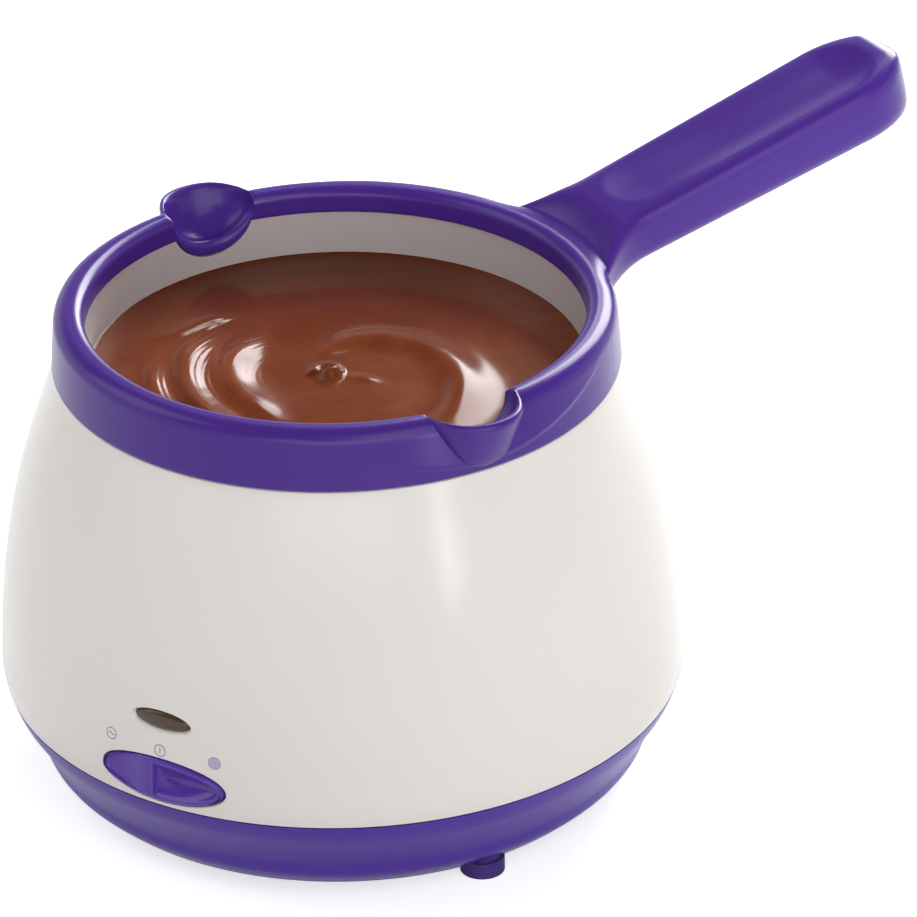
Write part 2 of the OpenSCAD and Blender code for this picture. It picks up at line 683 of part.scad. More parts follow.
// Profile of a round vessel's wall: outer radius at the floor and top, corner, wall
function vessel_points(floor_r, top_r, floor_z, top_z, corner) = concat([[0, floor_z]],
    [for (i = [0 : 8]) let (b = -90 + (90 - wall_lean) * i / 8)
        [floor_r - corner + corner * cos(b), floor_z + corner + corner * sin(b)]],
    [[top_r, top_z]]);

module heat_well() {
    outer_top = cup_inner_r(flange_z) + cup_wall + well_gap + well_wall;
    outer_floor = cup_floor_r + cup_wall + well_gap + well_wall;
    corner = cup_corner + cup_wall + well_gap + well_wall;
    color("gainsboro") {
        rotate_extrude() polygon(concat(
            vessel_points(outer_floor, outer_top, well_under_z, flange_z - well_wall, corner),
            [[flange_r, flange_z - well_wall], [flange_r, flange_z], [outer_top - well_wall, flange_z]],
            reversed(vessel_points(outer_floor - well_wall, outer_top - well_wall, well_floor_z,
                flange_z - well_wall, corner - well_wall))));
        around(post_turns, post_place_r) translate([0, 0, well_under_z - stud_l])
            cylinder(h = stud_l + well_wall / 2, r = stud_r);
        translate([0, 0, clamp_z - nut_h - well_wall])
            cylinder(h = well_under_z - clamp_z + nut_h + 1.5 * well_wall, r = centre_stud_r);
    }
}

module well_seal() {
    color("whitesmoke") translate([0, 0, flange_z]) difference() {
        cylinder(h = seal_t, r = flange_r);
        translate([0, 0, -overrun]) cylinder(h = seal_t + 2 * overrun, r = neck_inner_r);
    }
}

module well_bushes() {
    color("linen") around(post_turns, post_place_r) translate([0, 0, post_top_z]) difference() {
        cylinder(h = bush_h, r = post_r);
        translate([0, 0, -overrun]) cylinder(h = bush_h + 2 * overrun, r = post_bore_r);
    }
}

module stack_disc(low_z, thickness, width) {
    translate([0, 0, low_z]) difference() {
        cylinder(h = thickness, r = width / 2);
        translate([0, 0, -overrun]) cylinder(h = thickness + 2 * overrun, r = centre_stud_r + fit_gap);
    }
}

module heating_disc() {
    color("burlywood") stack_disc(well_under_z - heater_t, heater_t, heater_w);
}

module insulation_pad() {
    color("white") stack_disc(well_under_z - heater_t - insulation_t, insulation_t, heater_w);
}

module clamp_plate() {
    color("lightsteelblue") stack_disc(clamp_z, clamp_t, clamp_w);
}

module clamp_nut() {
    color("silver") translate([0, 0, clamp_z - nut_h]) difference() {
        cylinder(h = nut_h, r = nut_across / 2 / cos(30), $fn = 6);
        translate([0, 0, -overrun]) cylinder(h = nut_h + 2 * overrun, r = centre_stud_r + fit_gap);
    }
}

module tabs(gap) {
    for (side = [-1, 1]) translate([side * gap - tab_t / 2, -tab_w / 2, -tab_l]) cube([tab_t, tab_w, tab_l]);
}

module thermostat() {
    color("sienna") translate([thermostat_x, thermostat_y, clamp_z - thermostat_h]) {
        cylinder(h = thermostat_h, r = thermostat_r);
        tabs(thermostat_r / 2);
    }
}

module thermal_fuse() {
    color("gold") translate([fuse_x - fuse_l / 2, fuse_y, clamp_z - fuse_r]) rotate([0, 90, 0]) {
        cylinder(h = fuse_l, r = fuse_r);
        translate([0, 0, -fuse_l / 2]) cylinder(h = 2 * fuse_l, r = fuse_r / 4);
    }
}

module fuse_clip() {
    color("silver") translate([fuse_x - clip_w / 2, fuse_y, clamp_z]) rotate([0, 90, 0])
        linear_extrude(clip_w) difference() {
            union() {
                translate([fuse_r, 0]) circle(r = fuse_r + fit_gap + clip_t);
                translate([0, -fuse_r - clip_foot]) square([clip_t, 2 * fuse_r + 2 * clip_foot]);
            }
            translate([fuse_r, 0]) circle(r = fuse_r + fit_gap);
            translate([-2 * fuse_r, -2 * fuse_r]) square([2 * fuse_r, 4 * fuse_r]);
        }
}

module switch_bracket() {
    ear_y = pivot_y - pin_r - ear_lip;
    color("lightgray") difference() {
        union() {
            translate([-bracket_w / 2, bracket_y, selector_z - bracket_h / 2])
                cube([bracket_w, bracket_t, bracket_h]);
            for (side = [-1, 1]) translate([-ear_w / 2, ear_y,
                selector_z + (side > 0 ? selector_h / 2 + ear_gap : -selector_h / 2 - ear_gap - ear_t)])
                cube([ear_w, bracket_y - ear_y + bracket_t / 2, ear_t]);
        }
        translate([0, pivot_y, selector_z - bracket_h / 2 - overrun])
            cylinder(h = bracket_h + 2 * overrun, r = pin_r);
        translate([-switch_slot_w / 2, bracket_y - overrun, selector_z - drive_h / 2 - ear_gap])
            cube([switch_slot_w, bracket_t + 2 * overrun, drive_h + 2 * ear_gap]);
        for (side = [-1, 1]) translate([side * bracket_screw_x, bracket_y - overrun, selector_z])
            rotate([-90, 0, 0]) cylinder(h = bracket_t + 2 * overrun, r = bracket_screw_r + fit_gap);
    }
}

module bracket_screws() {
    color("silver") for (side = [-1, 1])
        translate([side * bracket_screw_x, 0, selector_z]) rotate([90, 0, 0]) {
        translate([0, 0, -bracket_y - bracket_t - bracket_screw_r * 1.2])
            cylinder(h = bracket_screw_r * 1.2, r = 2 * bracket_screw_r);
        translate([0, 0, -bracket_y - bracket_t])
            cylinder(h = bracket_t + 5 * bracket_screw_r - overrun, r = bracket_screw_r - fit_gap);
    }
}

module selector_pin() {
    reach = selector_h / 2 + ear_gap + ear_t;
    color("silver") translate([0, pivot_y, selector_z - reach]) cylinder(h = 2 * reach, r = pin_r);
}

module switch_body() {
    color("black") translate([0, switch_y, selector_z]) difference() {
        union() {
            translate([-switch_w / 2, 0, -switch_h / 2]) cube([switch_w, switch_d, switch_h]);
            for (x = [-switch_w / 3, 0, switch_w / 3]) translate([x - tab_w / 2, switch_d, -tab_t / 2])
                cube([tab_w, switch_tab_l, tab_t]);
        }
        translate([-switch_slot_w / 2, -overrun, -drive_h / 2 - ear_gap])
            cube([switch_slot_w, drive_l, drive_h + 2 * ear_gap]);
    }
}

// Surface of revolution about the pivot, so the oval keeps its gap while it rocks
module selector_cap() {
    face_y = -selector_face - selector_proud;
    dish_x = ridge_w / 2 + sqrt(dish_r * dish_r - pow(dish_r - dish_cut, 2));
    color("rebeccapurple") difference() {
        union() {
            intersection() {
                translate([0, pivot_y, selector_z]) rotate_extrude() polygon(concat(
                    [for (i = [0 : 24]) let (b = -90 + 180 * i / 24)
                        [selector_round_r * cos(b), selector_h / 2 * sin(b)]]));
                translate([0, 0, selector_z - selector_h / 2])
                    cylinder(h = selector_h, r = -face_y, $fn = 360);
                translate([-selector_w, face_y, selector_z - selector_h / 2])
                    cube([2 * selector_w, pivot_y + selector_back - face_y, selector_h]);
            }
            translate([-drive_w / 2, pivot_y, selector_z - drive_h / 2])
                cube([drive_w, bracket_y + bracket_t + drive_l / 2 - pivot_y, drive_h]);
        }
        for (side = [-1, 1])
            translate([side * dish_x, face_y - dish_r + dish_cut, selector_z - selector_h])
                cylinder(h = 2 * selector_h, r = dish_r);
        translate([0, pivot_y, selector_z - selector_h]) cylinder(h = 2 * selector_h, r = pin_r + pin_gap);
    }
}

module indicator_lens() {
    inner = -body_r(lens_z) + shell_wall;
    color("saddlebrown") {
        intersection() {
            oval_prism(lens_w / 2 - fit_gap, lens_h / 2 - fit_gap, -body_w / 2 - overrun,
                inner + lens_rim + lens_rim_t, lens_z);
            cylinder(h = body_h, r = lens_face + lens_proud, $fn = 360);
        }
        oval_prism(lens_w / 2 + lens_rim, lens_h / 2 + lens_rim, inner + lens_rim,
            inner + lens_rim + lens_rim_t, lens_z);
    }
}

module lamp_holder() {
    front = -body_r(lens_z) + shell_wall + lens_rim_t + lens_rim;
    color("white") difference() {
        translate([-lens_w / 2, front, lens_z - lamp_r - holder_wall])
            cube([lens_w, 2 * lamp_r + holder_wall + holder_back, 2 * lamp_r + 2 * holder_wall]);
        translate([-lens_w / 2 + holder_wall, front - overrun, lens_z - lamp_r])
            cube([lens_w - 2 * holder_wall, 2 * lamp_r + holder_back + overrun, 2 * lamp_r]);
    }
}

module indicator_lamp() {
    front = -body_r(lens_z) + shell_wall + lens_rim_t + lens_rim;
    color("orange") translate([-lens_w / 2 + holder_wall + fit_gap, front + lamp_r + holder_back / 2, lens_z])
        rotate([0, 90, 0]) cylinder(h = lens_w - 2 * holder_wall - 2 * fit_gap, r = lamp_r - fit_gap);
}

module terminal_block() {
    pitch = block_w / block_ways;
    color("beige") translate([-block_w / 2, block_y, foot_h + pan_floor]) difference() {
        cube([block_w, block_d, block_h]);
        for (i = [0 : block_ways - 1]) translate([(i + 0.5) * pitch, block_d / 2, block_h - block_screw_sink])
            cylinder(h = block_screw_sink + overrun, r = block_screw_r);
    }
}

// Wires: each runs from one terminal to the next, clear of the pieces between
switch_back_y = switch_y + switch_d + switch_tab_l;
block_top_z = foot_h + pan_floor + block_h;
wire_z = block_top_z - block_h / 2;
tab_low_z = clamp_z - thermostat_h - tab_l;
tab_x = thermostat_x + thermostat_r / 2;
fuse_end_x = fuse_x - fuse_l;
wire_sides = 8;
wire_turn = tab_l / 2;
middle_z = (selector_z + wire_z) / 2;
wire_routes = [
    [[-switch_w / 3, switch_back_y, selector_z], [-switch_w / 3, switch_back_y + wire_turn, selector_z],
        [-switch_w / 3, switch_back_y + tab_l, selector_z - wire_turn], [-switch_w / 4, -block_d, middle_z],
        [0, block_y - block_d, wire_z], [0, block_y - wire_turn, wire_z], [0, block_y, wire_z]],
    [[switch_w / 3, switch_back_y, selector_z], [switch_w / 3, switch_back_y + wire_turn, selector_z],
        [switch_w / 2, switch_back_y + tab_l, selector_z - wire_turn],
        [tab_x - wire_turn, thermostat_y - block_d, tab_low_z - tab_l],
        [tab_x, thermostat_y - wire_r, tab_low_z - tab_l], [tab_x, thermostat_y, tab_low_z - wire_turn],
        [tab_x, thermostat_y, tab_low_z]],
    [[fuse_end_x, fuse_y, clamp_z - fuse_r], [fuse_end_x - wire_turn, fuse_y, clamp_z - fuse_r],
        [fuse_end_x - wire_turn, fuse_y + block_d / 2, clamp_z - block_h],
        [-block_w / 2, block_y - block_d, wire_z + wire_turn], [-block_w / 3, block_y - wire_turn, wire_z],
        [-block_w / 3, block_y, wire_z]]];

function unit(v) = v / norm(v);
function route_ring(route, i) = let (last = len(route) - 1,
    ahead = unit(route[min(i + 1, last)] - route[max(i - 1, 0)]),
    side = unit(cross(ahead, abs(ahead[2]) > 0.9 ? [1, 0, 0] : [0, 0, 1])), up = cross(side, ahead))
    [for (k = [0 : wire_sides - 1]) let (b = 360 * k / wire_sides)
        route[i] + wire_r * (cos(b) * side + sin(b) * up)];

module wire_loom() {
    color("firebrick") for (route = wire_routes)
        tube([for (i = [0 : len(route) - 1]) route_ring(route, i)]);
}

module pot_cup() {
    floor_outer = cup_floor_r + cup_wall;
    color("gainsboro") difference() {
        rotate_extrude() polygon(concat(
            vessel_points(floor_outer, cup_inner_r(ledge_z) + cup_wall, cup_under_z, ledge_z,
                cup_corner + cup_wall),
            [[rebate_r - fit_gap, ledge_z], [rebate_r - fit_gap, lip_z], [cup_r, lip_z]],
            reversed(vessel_points(cup_floor_r, cup_r, cup_inside_z, lip_z, cup_corner))));
        spout_notch(notch_gap);
    }
}

module pot_collar() {
    color("rebeccapurple") rotate([0, 0, handle_turn]) collar_skin();
}

module chocolate() {
    color("saddlebrown") rotate_extrude() polygon(concat(
        vessel_points(cup_floor_r - fill_gap, cup_inner_r(fill_z) - fill_gap, cup_inside_z + fill_gap, fill_z,
            cup_corner), [[0, fill_z]]));
}

housing_shell();
base_pan();
foot_pads();
housing_screws();
cord_gland();
heat_well();
well_seal();
well_bushes();
heating_disc();
insulation_pad();
clamp_plate();
clamp_nut();
thermostat();
thermal_fuse();
fuse_clip();
switch_body();
switch_bracket();
bracket_screws();
selector_pin();
indicator_lens();
lamp_holder();
indicator_lamp();
terminal_block();
wire_loom();
pot_cup();
pot_collar();
chocolate();
selector_cap();
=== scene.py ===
"""Finish and fine shapes of an electric chocolate melting pot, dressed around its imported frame.

The frame gives every piece its size and place. The collar with its handle, the melted chocolate, the
housing, the selector, the lens and the printed marks are worked out here as fine surfaces. Each of the
other pieces keeps its own solid and gets its finish. Lengths are in millimetres until a surface is made,
and angles are in degrees where a name ends in turn.
"""

import logging
from dataclasses import dataclass
from enum import Enum
from typing import Any, Optional, Sequence, Union

import bmesh
import bpy
import numpy as np
from mathutils import Matrix, Vector


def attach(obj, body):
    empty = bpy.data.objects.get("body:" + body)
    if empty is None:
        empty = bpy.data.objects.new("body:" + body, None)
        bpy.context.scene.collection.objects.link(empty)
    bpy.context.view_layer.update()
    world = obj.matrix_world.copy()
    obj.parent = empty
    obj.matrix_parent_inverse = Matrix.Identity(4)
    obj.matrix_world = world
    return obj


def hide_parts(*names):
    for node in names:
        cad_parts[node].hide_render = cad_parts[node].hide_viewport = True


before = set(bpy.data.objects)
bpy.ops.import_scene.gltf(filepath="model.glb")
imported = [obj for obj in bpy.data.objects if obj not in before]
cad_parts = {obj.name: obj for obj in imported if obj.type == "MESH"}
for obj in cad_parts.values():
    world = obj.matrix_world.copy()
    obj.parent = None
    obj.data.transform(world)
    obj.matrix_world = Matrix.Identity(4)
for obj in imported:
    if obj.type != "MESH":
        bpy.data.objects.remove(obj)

LOG = logging.getLogger("melting_pot")
MM = 0.001
MERGE_M = 2e-6
SLIVER_M = 1e-7
Array = np.ndarray
Value = Union["Signal", float, Sequence[float]]
Colour = tuple[float, float, float, float]


def smooth_step(share: Array) -> Array:
    """Rise from 0 to 1 with level ends: 3 t squared less 2 t cubed.

    Args:
        share: where each point stands between the two ends.

    Returns:
        The eased share.
    """
    t = np.clip(share, 0.0, 1.0)
    return t * t * (3.0 - 2.0 * t)


def joined(*parts: Array) -> Array:
    """Arrays spread to one layout and stacked along a new last axis."""
    return np.stack(np.broadcast_arrays(*parts), axis=-1)


def full_turn(count: int) -> Array:
    """Angles in radians of evenly spaced places round a full turn."""
    return np.linspace(0.0, 2.0 * np.pi, count, endpoint=False)


def power_arc(share: Array, power: Union[Array, float]) -> Array:
    """Height over a place on the curve place^p + height^p = 1."""
    return (1.0 - np.abs(share) ** power) ** (1.0 / power)


def ring_points(radius: Array, turn: Array, height: Array) -> Array:
    """Points at a radius, a turn in degrees and a height."""
    angle = np.radians(turn)
    return joined(radius * np.cos(angle), radius * np.sin(angle), height)


def turned(points: Array, turn: float) -> Array:
    """Points turned about the upright axis by an angle in degrees."""
    c, s = np.cos(np.radians(turn)), np.sin(np.radians(turn))
    return points @ np.array([[c, s, 0.0], [-s, c, 0.0], [0.0, 0.0, 1.0]])


def smooth_shaded(mesh: bpy.types.Mesh, crease_turn: float) -> None:
    """Shade a mesh smooth, with a sharp edge where faces meet at more than an angle in degrees."""
    mesh.polygons.foreach_set("use_smooth", np.ones(len(mesh.polygons), dtype=bool))
    mesh.set_sharp_from_angle(angle=float(np.radians(crease_turn)))


class Skin:
    """Points and faces of one piece, gathered grid by grid."""

    def __init__(self) -> None:
        """Start with no points."""
        self.points: list[Array] = []
        self.faces: list[list[int]] = []
        self.count = 0

    def add_points(self, points: Array) -> Array:
        """Add points in millimetres and give their indices, in the same layout."""
        flat = points.reshape(-1, 3)
        index = np.arange(self.count, self.count + len(flat)).reshape(points.shape[:-1])
        self.points.append(flat)
        self.count += len(flat)
        return index

    def stitch(self, index: Array, wrap_rows: bool = False, wrap_columns: bool = False,
               keep: Optional[Array] = None) -> None:
        """Lay a quad between each point of a grid and its next row and column.

        Args:
            index: indices of the grid's points, rows by columns.
            wrap_rows: whether the last row joins the first.
            wrap_columns: whether the last column joins the first.
            keep: which quads to lay, as a mask of the same layout.
        """
        rows = index if not wrap_rows else np.concatenate([index, index[:1]], axis=0)
        grid = rows if not wrap_columns else np.concatenate([rows, rows[:, :1]], axis=1)
        quads = np.stack([grid[:-1, :-1], grid[1:, :-1], grid[1:, 1:], grid[:-1, 1:]], axis=-1)
        chosen = quads.reshape(-1, 4) if keep is None else quads[keep]
        self.faces.extend(chosen.tolist())

    def grid(self, points: Array, wrap_rows: bool = False, wrap_columns: bool = False) -> Array:
        """Add a grid of points with quads between them, and give the points' indices."""
        index = self.add_points(points)
        self.stitch(index, wrap_rows, wrap_columns)
        return index

    def fan(self, loop: Array, centre: Array) -> None:
        """Close a loop of indices with triangles to one more point."""
        tip = int(self.add_points(centre.reshape(1, 3))[0])
        ahead = np.roll(loop, -1)
        self.faces.extend(np.stack([loop, ahead, np.full_like(loop, tip)], axis=-1).tolist())

    def capped(self, rows: Array, first: Sequence[float], last: Sequence[float]) -> None:
        """Add closed rows with quads between them, and close both ends with fans to two more points."""
        index = self.grid(rows, wrap_columns=True)
        self.fan(index[0], np.array(first, float))
        self.fan(index[-1], np.array(last, float))

    def ease(self, weight: Array, rounds: int, pull: float = 0.5) -> None:
        """Move each point towards the mean of its neighbours, by its weight, to round an edge.

        Args:
            weight: share of the move for each point, 0 where nothing moves.
            rounds: how often the move is made.
            pull: part of the way to the neighbours' mean in one round.
        """
        points = np.concatenate(self.points)
        quads = np.array([face for face in self.faces if len(face) == 4])
        pairs = np.concatenate([quads[:, [0, 1]], quads[:, [1, 2]], quads[:, [2, 3]], quads[:, [3, 0]]])
        pairs = np.unique(np.sort(pairs, axis=1), axis=0)
        both = np.concatenate([pairs, pairs[:, ::-1]])
        near = np.maximum(np.bincount(both[:, 0], minlength=len(points)), 1)
        for _ in range(rounds):
            total = np.stack([np.bincount(both[:, 0], points[both[:, 1], axis], len(points))
                              for axis in range(3)], axis=-1)
            points = points + (total / near[:, None] - points) * (pull * weight)[:, None]
        self.points = [points]

    def piece(self, name: str, crease_turn: float = 38.0) -> bpy.types.Object:
        """Make the object in metres, with doubles merged and faces turned outwards.

        Args:
            name: the object's name.
            crease_turn: faces that meet at more than this angle keep a sharp edge.

        Returns:
            The new object, linked to the scene.
        """
        mesh = bpy.data.meshes.new(name)
        mesh.from_pydata((np.concatenate(self.points) * MM).tolist(), [], self.faces)
        shape = bmesh.new()
        shape.from_mesh(mesh)
        bmesh.ops.remove_doubles(shape, verts=shape.verts, dist=MERGE_M)
        bmesh.ops.dissolve_degenerate(shape, edges=shape.edges, dist=SLIVER_M)
        bmesh.ops.recalc_face_normals(shape, faces=shape.faces)
        shape.to_mesh(mesh)
        shape.free()
        smooth_shaded(mesh, crease_turn)
        made = bpy.data.objects.new(name, mesh)
        bpy.context.collection.objects.link(made)
        LOG.info("%s: %d faces", name, len(mesh.polygons))
        return made


class Signal:
    """A socket of a shader with the usual signs for sums, so that shader maths reads as a formula."""

    def __init__(self, graph: "Graph", socket: bpy.types.NodeSocket) -> None:
        """Keep the socket and the graph that it belongs to."""
        self.graph = graph
        self.socket = socket

    def sum(self, operation: str, *values: Value) -> "Signal":
        """Result of a Math node on this value and others."""
        inputs = dict(enumerate((self, *values)))
        return self.graph.signal(self.graph.node("ShaderNodeMath", {"operation": operation}, inputs))

    def __add__(self, other: Value) -> "Signal":
        """This plus the other."""
        return self.sum("ADD", other)

    def __sub__(self, other: Value) -> "Signal":
        """This less the other."""
        return self.sum("SUBTRACT", other)

    def __rsub__(self, other: float) -> "Signal":
        """The other less this."""
        return self.sum("MULTIPLY", -1.0).sum("ADD", other)

    def __mul__(self, other: Value) -> "Signal":
        """This times the other."""
        return self.sum("MULTIPLY", other)

    def __pow__(self, other: Value) -> "Signal":
        """This raised to a power."""
        return self.sum("POWER", other)

    def sine(self) -> "Signal":
        """Sine of this angle in radians."""
        return self.sum("SINE")

    def ramp(self, low: float, high: float, soft: bool = False) -> "Signal":
        """Rise from 0 to 1 as this value goes from low to high."""
        kind = "SMOOTHSTEP" if soft else "LINEAR"
        made = self.graph.node("ShaderNodeMapRange", {"interpolation_type": kind, "clamp": True},
                               {"Value": self, "From Min": low, "From Max": high})
        return self.graph.signal(made, "Result")


class Graph:
    """A node tree under construction, with one method that makes any node."""

    def __init__(self, tree: bpy.types.NodeTree) -> None:
        """Start with an empty tree."""
        self.tree = tree
        tree.nodes.clear()

    def node(self, kind: str, settings: Optional[dict[str, Any]] = None,
             inputs: Optional[dict[Union[str, int], Value]] = None) -> bpy.types.Node:
        """Make a node, apply its settings and fill its sockets.

        Args:
            kind: the node's type.
            settings: properties of the node, set first.
            inputs: values or signals for its sockets, by name or place.

        Returns:
            The new node.
        """
        made = self.tree.nodes.new(kind)
        for key, value in (settings or {}).items():
            setattr(made, key, value)
        for key, value in (inputs or {}).items():
            if isinstance(value, Signal):
                self.tree.links.new(value.socket, made.inputs[key])
            else:
                made.inputs[key].default_value = value
        return made

    def signal(self, node: bpy.types.Node, output: Union[str, int] = 0) -> Signal:
        """One output of a node."""
        return Signal(self, node.outputs[output])

    def mix(self, share: Value, first: Value, second: Value) -> Signal:
        """Number between two numbers."""
        return self.signal(self.node("ShaderNodeMix", None, {0: share, 2: first, 3: second}))


class Shader(Graph):
    """A material under construction."""

    def __init__(self, name: str) -> None:
        """Start a material with a Principled shader on its output."""
        self.material = bpy.data.materials.new(name)
        self.material.use_nodes = True
        super().__init__(self.material.node_tree)
        self.output = self.node("ShaderNodeOutputMaterial")
        self.surface = self.node("ShaderNodeBsdfPrincipled")
        self.tree.links.new(self.surface.outputs[0], self.output.inputs["Surface"])
        self.place = self.signal(self.node("ShaderNodeTexCoord"), "Object")

    def stretched(self, *scale: float) -> Signal:
        """Object coordinates scaled along each axis."""
        return self.signal(self.node("ShaderNodeMapping", {"vector_type": "POINT"},
                                     {"Vector": self.place, "Scale": scale}))

    def axes(self) -> tuple[Signal, Signal, Signal]:
        """The three object coordinates."""
        split = self.node("ShaderNodeSeparateXYZ", None, {0: self.place})
        return tuple(self.signal(split, axis) for axis in range(3))

    def noise(self, scale: float, detail: float = 2.0, rough: float = 0.5, warp: float = 0.0,
              where: Optional[Signal] = None) -> Signal:
        """Soft noise about 0.5, its scale in cycles per metre."""
        return self.signal(self.node("ShaderNodeTexNoise", None, {
            "Vector": where or self.place, "Scale": scale, "Detail": detail, "Roughness": rough,
            "Distortion": warp}), "Fac")

    def cells(self, scale: float) -> Signal:
        """Distance in a field of cells, its scale in cycles per metre."""
        made = self.node("ShaderNodeTexVoronoi", None, {"Vector": self.place, "Scale": scale})
        return self.signal(made, "Distance")

    def blend(self, share: Value, first: Value, second: Value) -> Signal:
        """Colour between two colours."""
        made = self.node("ShaderNodeMix", {"data_type": "RGBA"}, {0: share, 6: first, 7: second})
        return self.signal(made, 2)

    def bump(self, height: Signal, depth_mm: float) -> Signal:
        """Normal bent by a height, whose full range stands for a depth in millimetres."""
        return self.signal(self.node("ShaderNodeBump", None, {"Height": height, "Distance": depth_mm * MM,
                                                              "Strength": 1.0}), "Normal")

    def set(self, **sockets: Value) -> "Shader":
        """Fill sockets of the Principled shader, with underscores in place of spaces."""
        for key, value in sockets.items():
            socket = self.surface.inputs[key.replace("_", " ")]
            if isinstance(value, Signal):
                self.tree.links.new(value.socket, socket)
            else:
                socket.default_value = value
        return self


def tone(red: float, green: float, blue: float) -> Colour:
    """Colour for a socket, from linear red, green and blue."""
    return (red, green, blue, 1.0)


def shade(colour: Colour, factor: float) -> Colour:
    """A colour made lighter or darker by a factor."""
    return tone(*(min(part * factor, 1.0) for part in colour[:3]))


@dataclass(frozen=True)
class Finish:
    """A named material, whose kind says how its shader is painted."""

    name: str
    colour: Colour

    def paint(self, shader: Shader) -> None:
        """Fill the shader's sockets, each kind in its own way."""
        raise NotImplementedError

    def dress(self) -> bpy.types.Material:
        """Make the material.

        Returns:
            The finished material.
        """
        shader = Shader(self.name)
        self.paint(shader)
        return shader.material


@dataclass(frozen=True)
class MouldedPlastic(Finish):
    """Gloss plastic from a polished mould, with a faint mottle, orange peel and wiping scuffs."""

    roughness: float = 0.22
    specular: float = 0.5
    mottle: float = 0.03
    peel_mm: float = 0.012
    peel_size: float = 260.0
    scuff: float = 0.08
    coat: float = 0.0

    def paint(self, shader: Shader) -> None:
        """Fill the shader's sockets."""
        cloud = shader.noise(scale=22.0, detail=3.0)
        speck = shader.noise(scale=2400.0, detail=1.0)
        mix = (cloud * 0.75 + speck * 0.25).ramp(0.3, 0.7)
        dark, light = shade(self.colour, 1.0 - self.mottle), shade(self.colour, 1.0 + self.mottle)
        colour = shader.blend(mix, dark, light)
        wipes = shader.noise(scale=60.0, detail=3.0, where=shader.stretched(1.0, 1.0, 3.0))
        haze = shader.noise(scale=14.0, detail=2.0)
        worn = wipes.ramp(0.3, 0.8, soft=True) * 0.6 + haze.ramp(0.3, 0.7, soft=True) * 0.4
        roughness = worn * self.scuff + self.roughness
        peel = shader.noise(scale=self.peel_size, detail=1.0)
        grain = shader.noise(scale=3200.0, detail=1.0)
        normal = shader.bump(peel * 0.8 + grain * 0.2, depth_mm=self.peel_mm)
        shader.set(Base_Color=colour, Roughness=roughness, Normal=normal,
                   Specular_IOR_Level=self.specular, Coat_Weight=self.coat, Coat_Roughness=0.08)


class MetalGrain(Enum):
    """Ways in which a metal's surface was worked."""

    SPUN = "rings about the upright axis"
    ROLLED = "fine lines along the sheet"
    PLATED = "a smooth plated skin"


@dataclass(frozen=True)
class WorkedMetal(Finish):
    """Bare or plated metal with the marks of how it was worked."""

    grain: MetalGrain
    roughness: float = 0.3
    depth_mm: float = 0.01

    def lines(self, shader: Shader) -> Signal:
        """Height of the tool marks.

        Args:
            shader: the material under construction.

        Returns:
            A value between 0 and 1.
        """
        x, y, z = shader.axes()
        if self.grain is MetalGrain.SPUN:
            reach = (x * x + y * y) ** 0.5 + z * 0.6
            wander = shader.noise(scale=30.0, detail=2.0) * 0.0012
            return (reach + wander).sum("MULTIPLY", 5200.0).sine() * 0.5 + 0.5
        if self.grain is MetalGrain.ROLLED:
            along = shader.stretched(0.06, 6.0, 6.0)
            return shader.noise(scale=260.0, detail=5.0, rough=0.65, where=along)
        return shader.noise(scale=420.0, detail=3.0, rough=0.5)

    def paint(self, shader: Shader) -> None:
        """Fill the shader's sockets."""
        lines = self.lines(shader)
        smear = shader.noise(scale=45.0, detail=4.0, rough=0.6, warp=0.5)
        dull = smear.ramp(0.4, 0.8)
        colour = shader.blend(lines * 0.4 + dull * 0.6, shade(self.colour, 1.06),
                              shade(self.colour, 0.82))
        shader.set(Base_Color=colour, Metallic=1.0, Roughness=dull * 0.14 + lines * 0.06 + self.roughness,
                   Normal=shader.bump(lines, depth_mm=self.depth_mm))


@dataclass(frozen=True)
class SoftRubber(Finish):
    """Matt rubber with a fine tooth and dusty patches."""

    roughness: float = 0.62

    def paint(self, shader: Shader) -> None:
        """Fill the shader's sockets."""
        dust = shader.noise(scale=120.0, detail=4.0, rough=0.6).ramp(0.45, 0.8)
        tooth = shader.noise(scale=2600.0, detail=2.0)
        colour = shader.blend(dust * 0.5 + tooth * 0.2, self.colour, shade(self.colour, 1.7))
        shader.set(Base_Color=colour, Roughness=dust * 0.2 + self.roughness, Specular_IOR_Level=0.35,
                   Normal=shader.bump(tooth, depth_mm=0.02))


@dataclass(frozen=True)
class PressedFelt(Finish):
    """White mineral felt of short tangled fibres."""

    def paint(self, shader: Shader) -> None:
        """Fill the shader's sockets."""
        along = shader.stretched(1.0, 0.35, 1.0)
        fibre = shader.noise(scale=900.0, detail=6.0, rough=0.7, warp=2.5, where=along)
        clump = shader.noise(scale=160.0, detail=3.0)
        colour = shader.blend(fibre * 0.6 + clump * 0.4, shade(self.colour, 0.78), self.colour)
        shader.set(Base_Color=colour, Roughness=0.95, Specular_IOR_Level=0.1, Sheen_Weight=0.3,
                   Normal=shader.bump(fibre * 0.7 + clump * 0.3, depth_mm=0.25))


@dataclass(frozen=True)
class LampGlass(Finish):
    """Clear or tinted glass with slight waves."""

    transmission: float = 0.8
    roughness: float = 0.05

    def paint(self, shader: Shader) -> None:
        """Fill the shader's sockets."""
        wave = shader.noise(scale=180.0, detail=2.0)
        colour = shader.blend(wave.ramp(0.35, 0.65), shade(self.colour, 0.85), self.colour)
        shader.set(Base_Color=colour, Roughness=wave * 0.05 + self.roughness, IOR=1.5,
                   Transmission_Weight=self.transmission, Normal=shader.bump(wave, depth_mm=0.02))


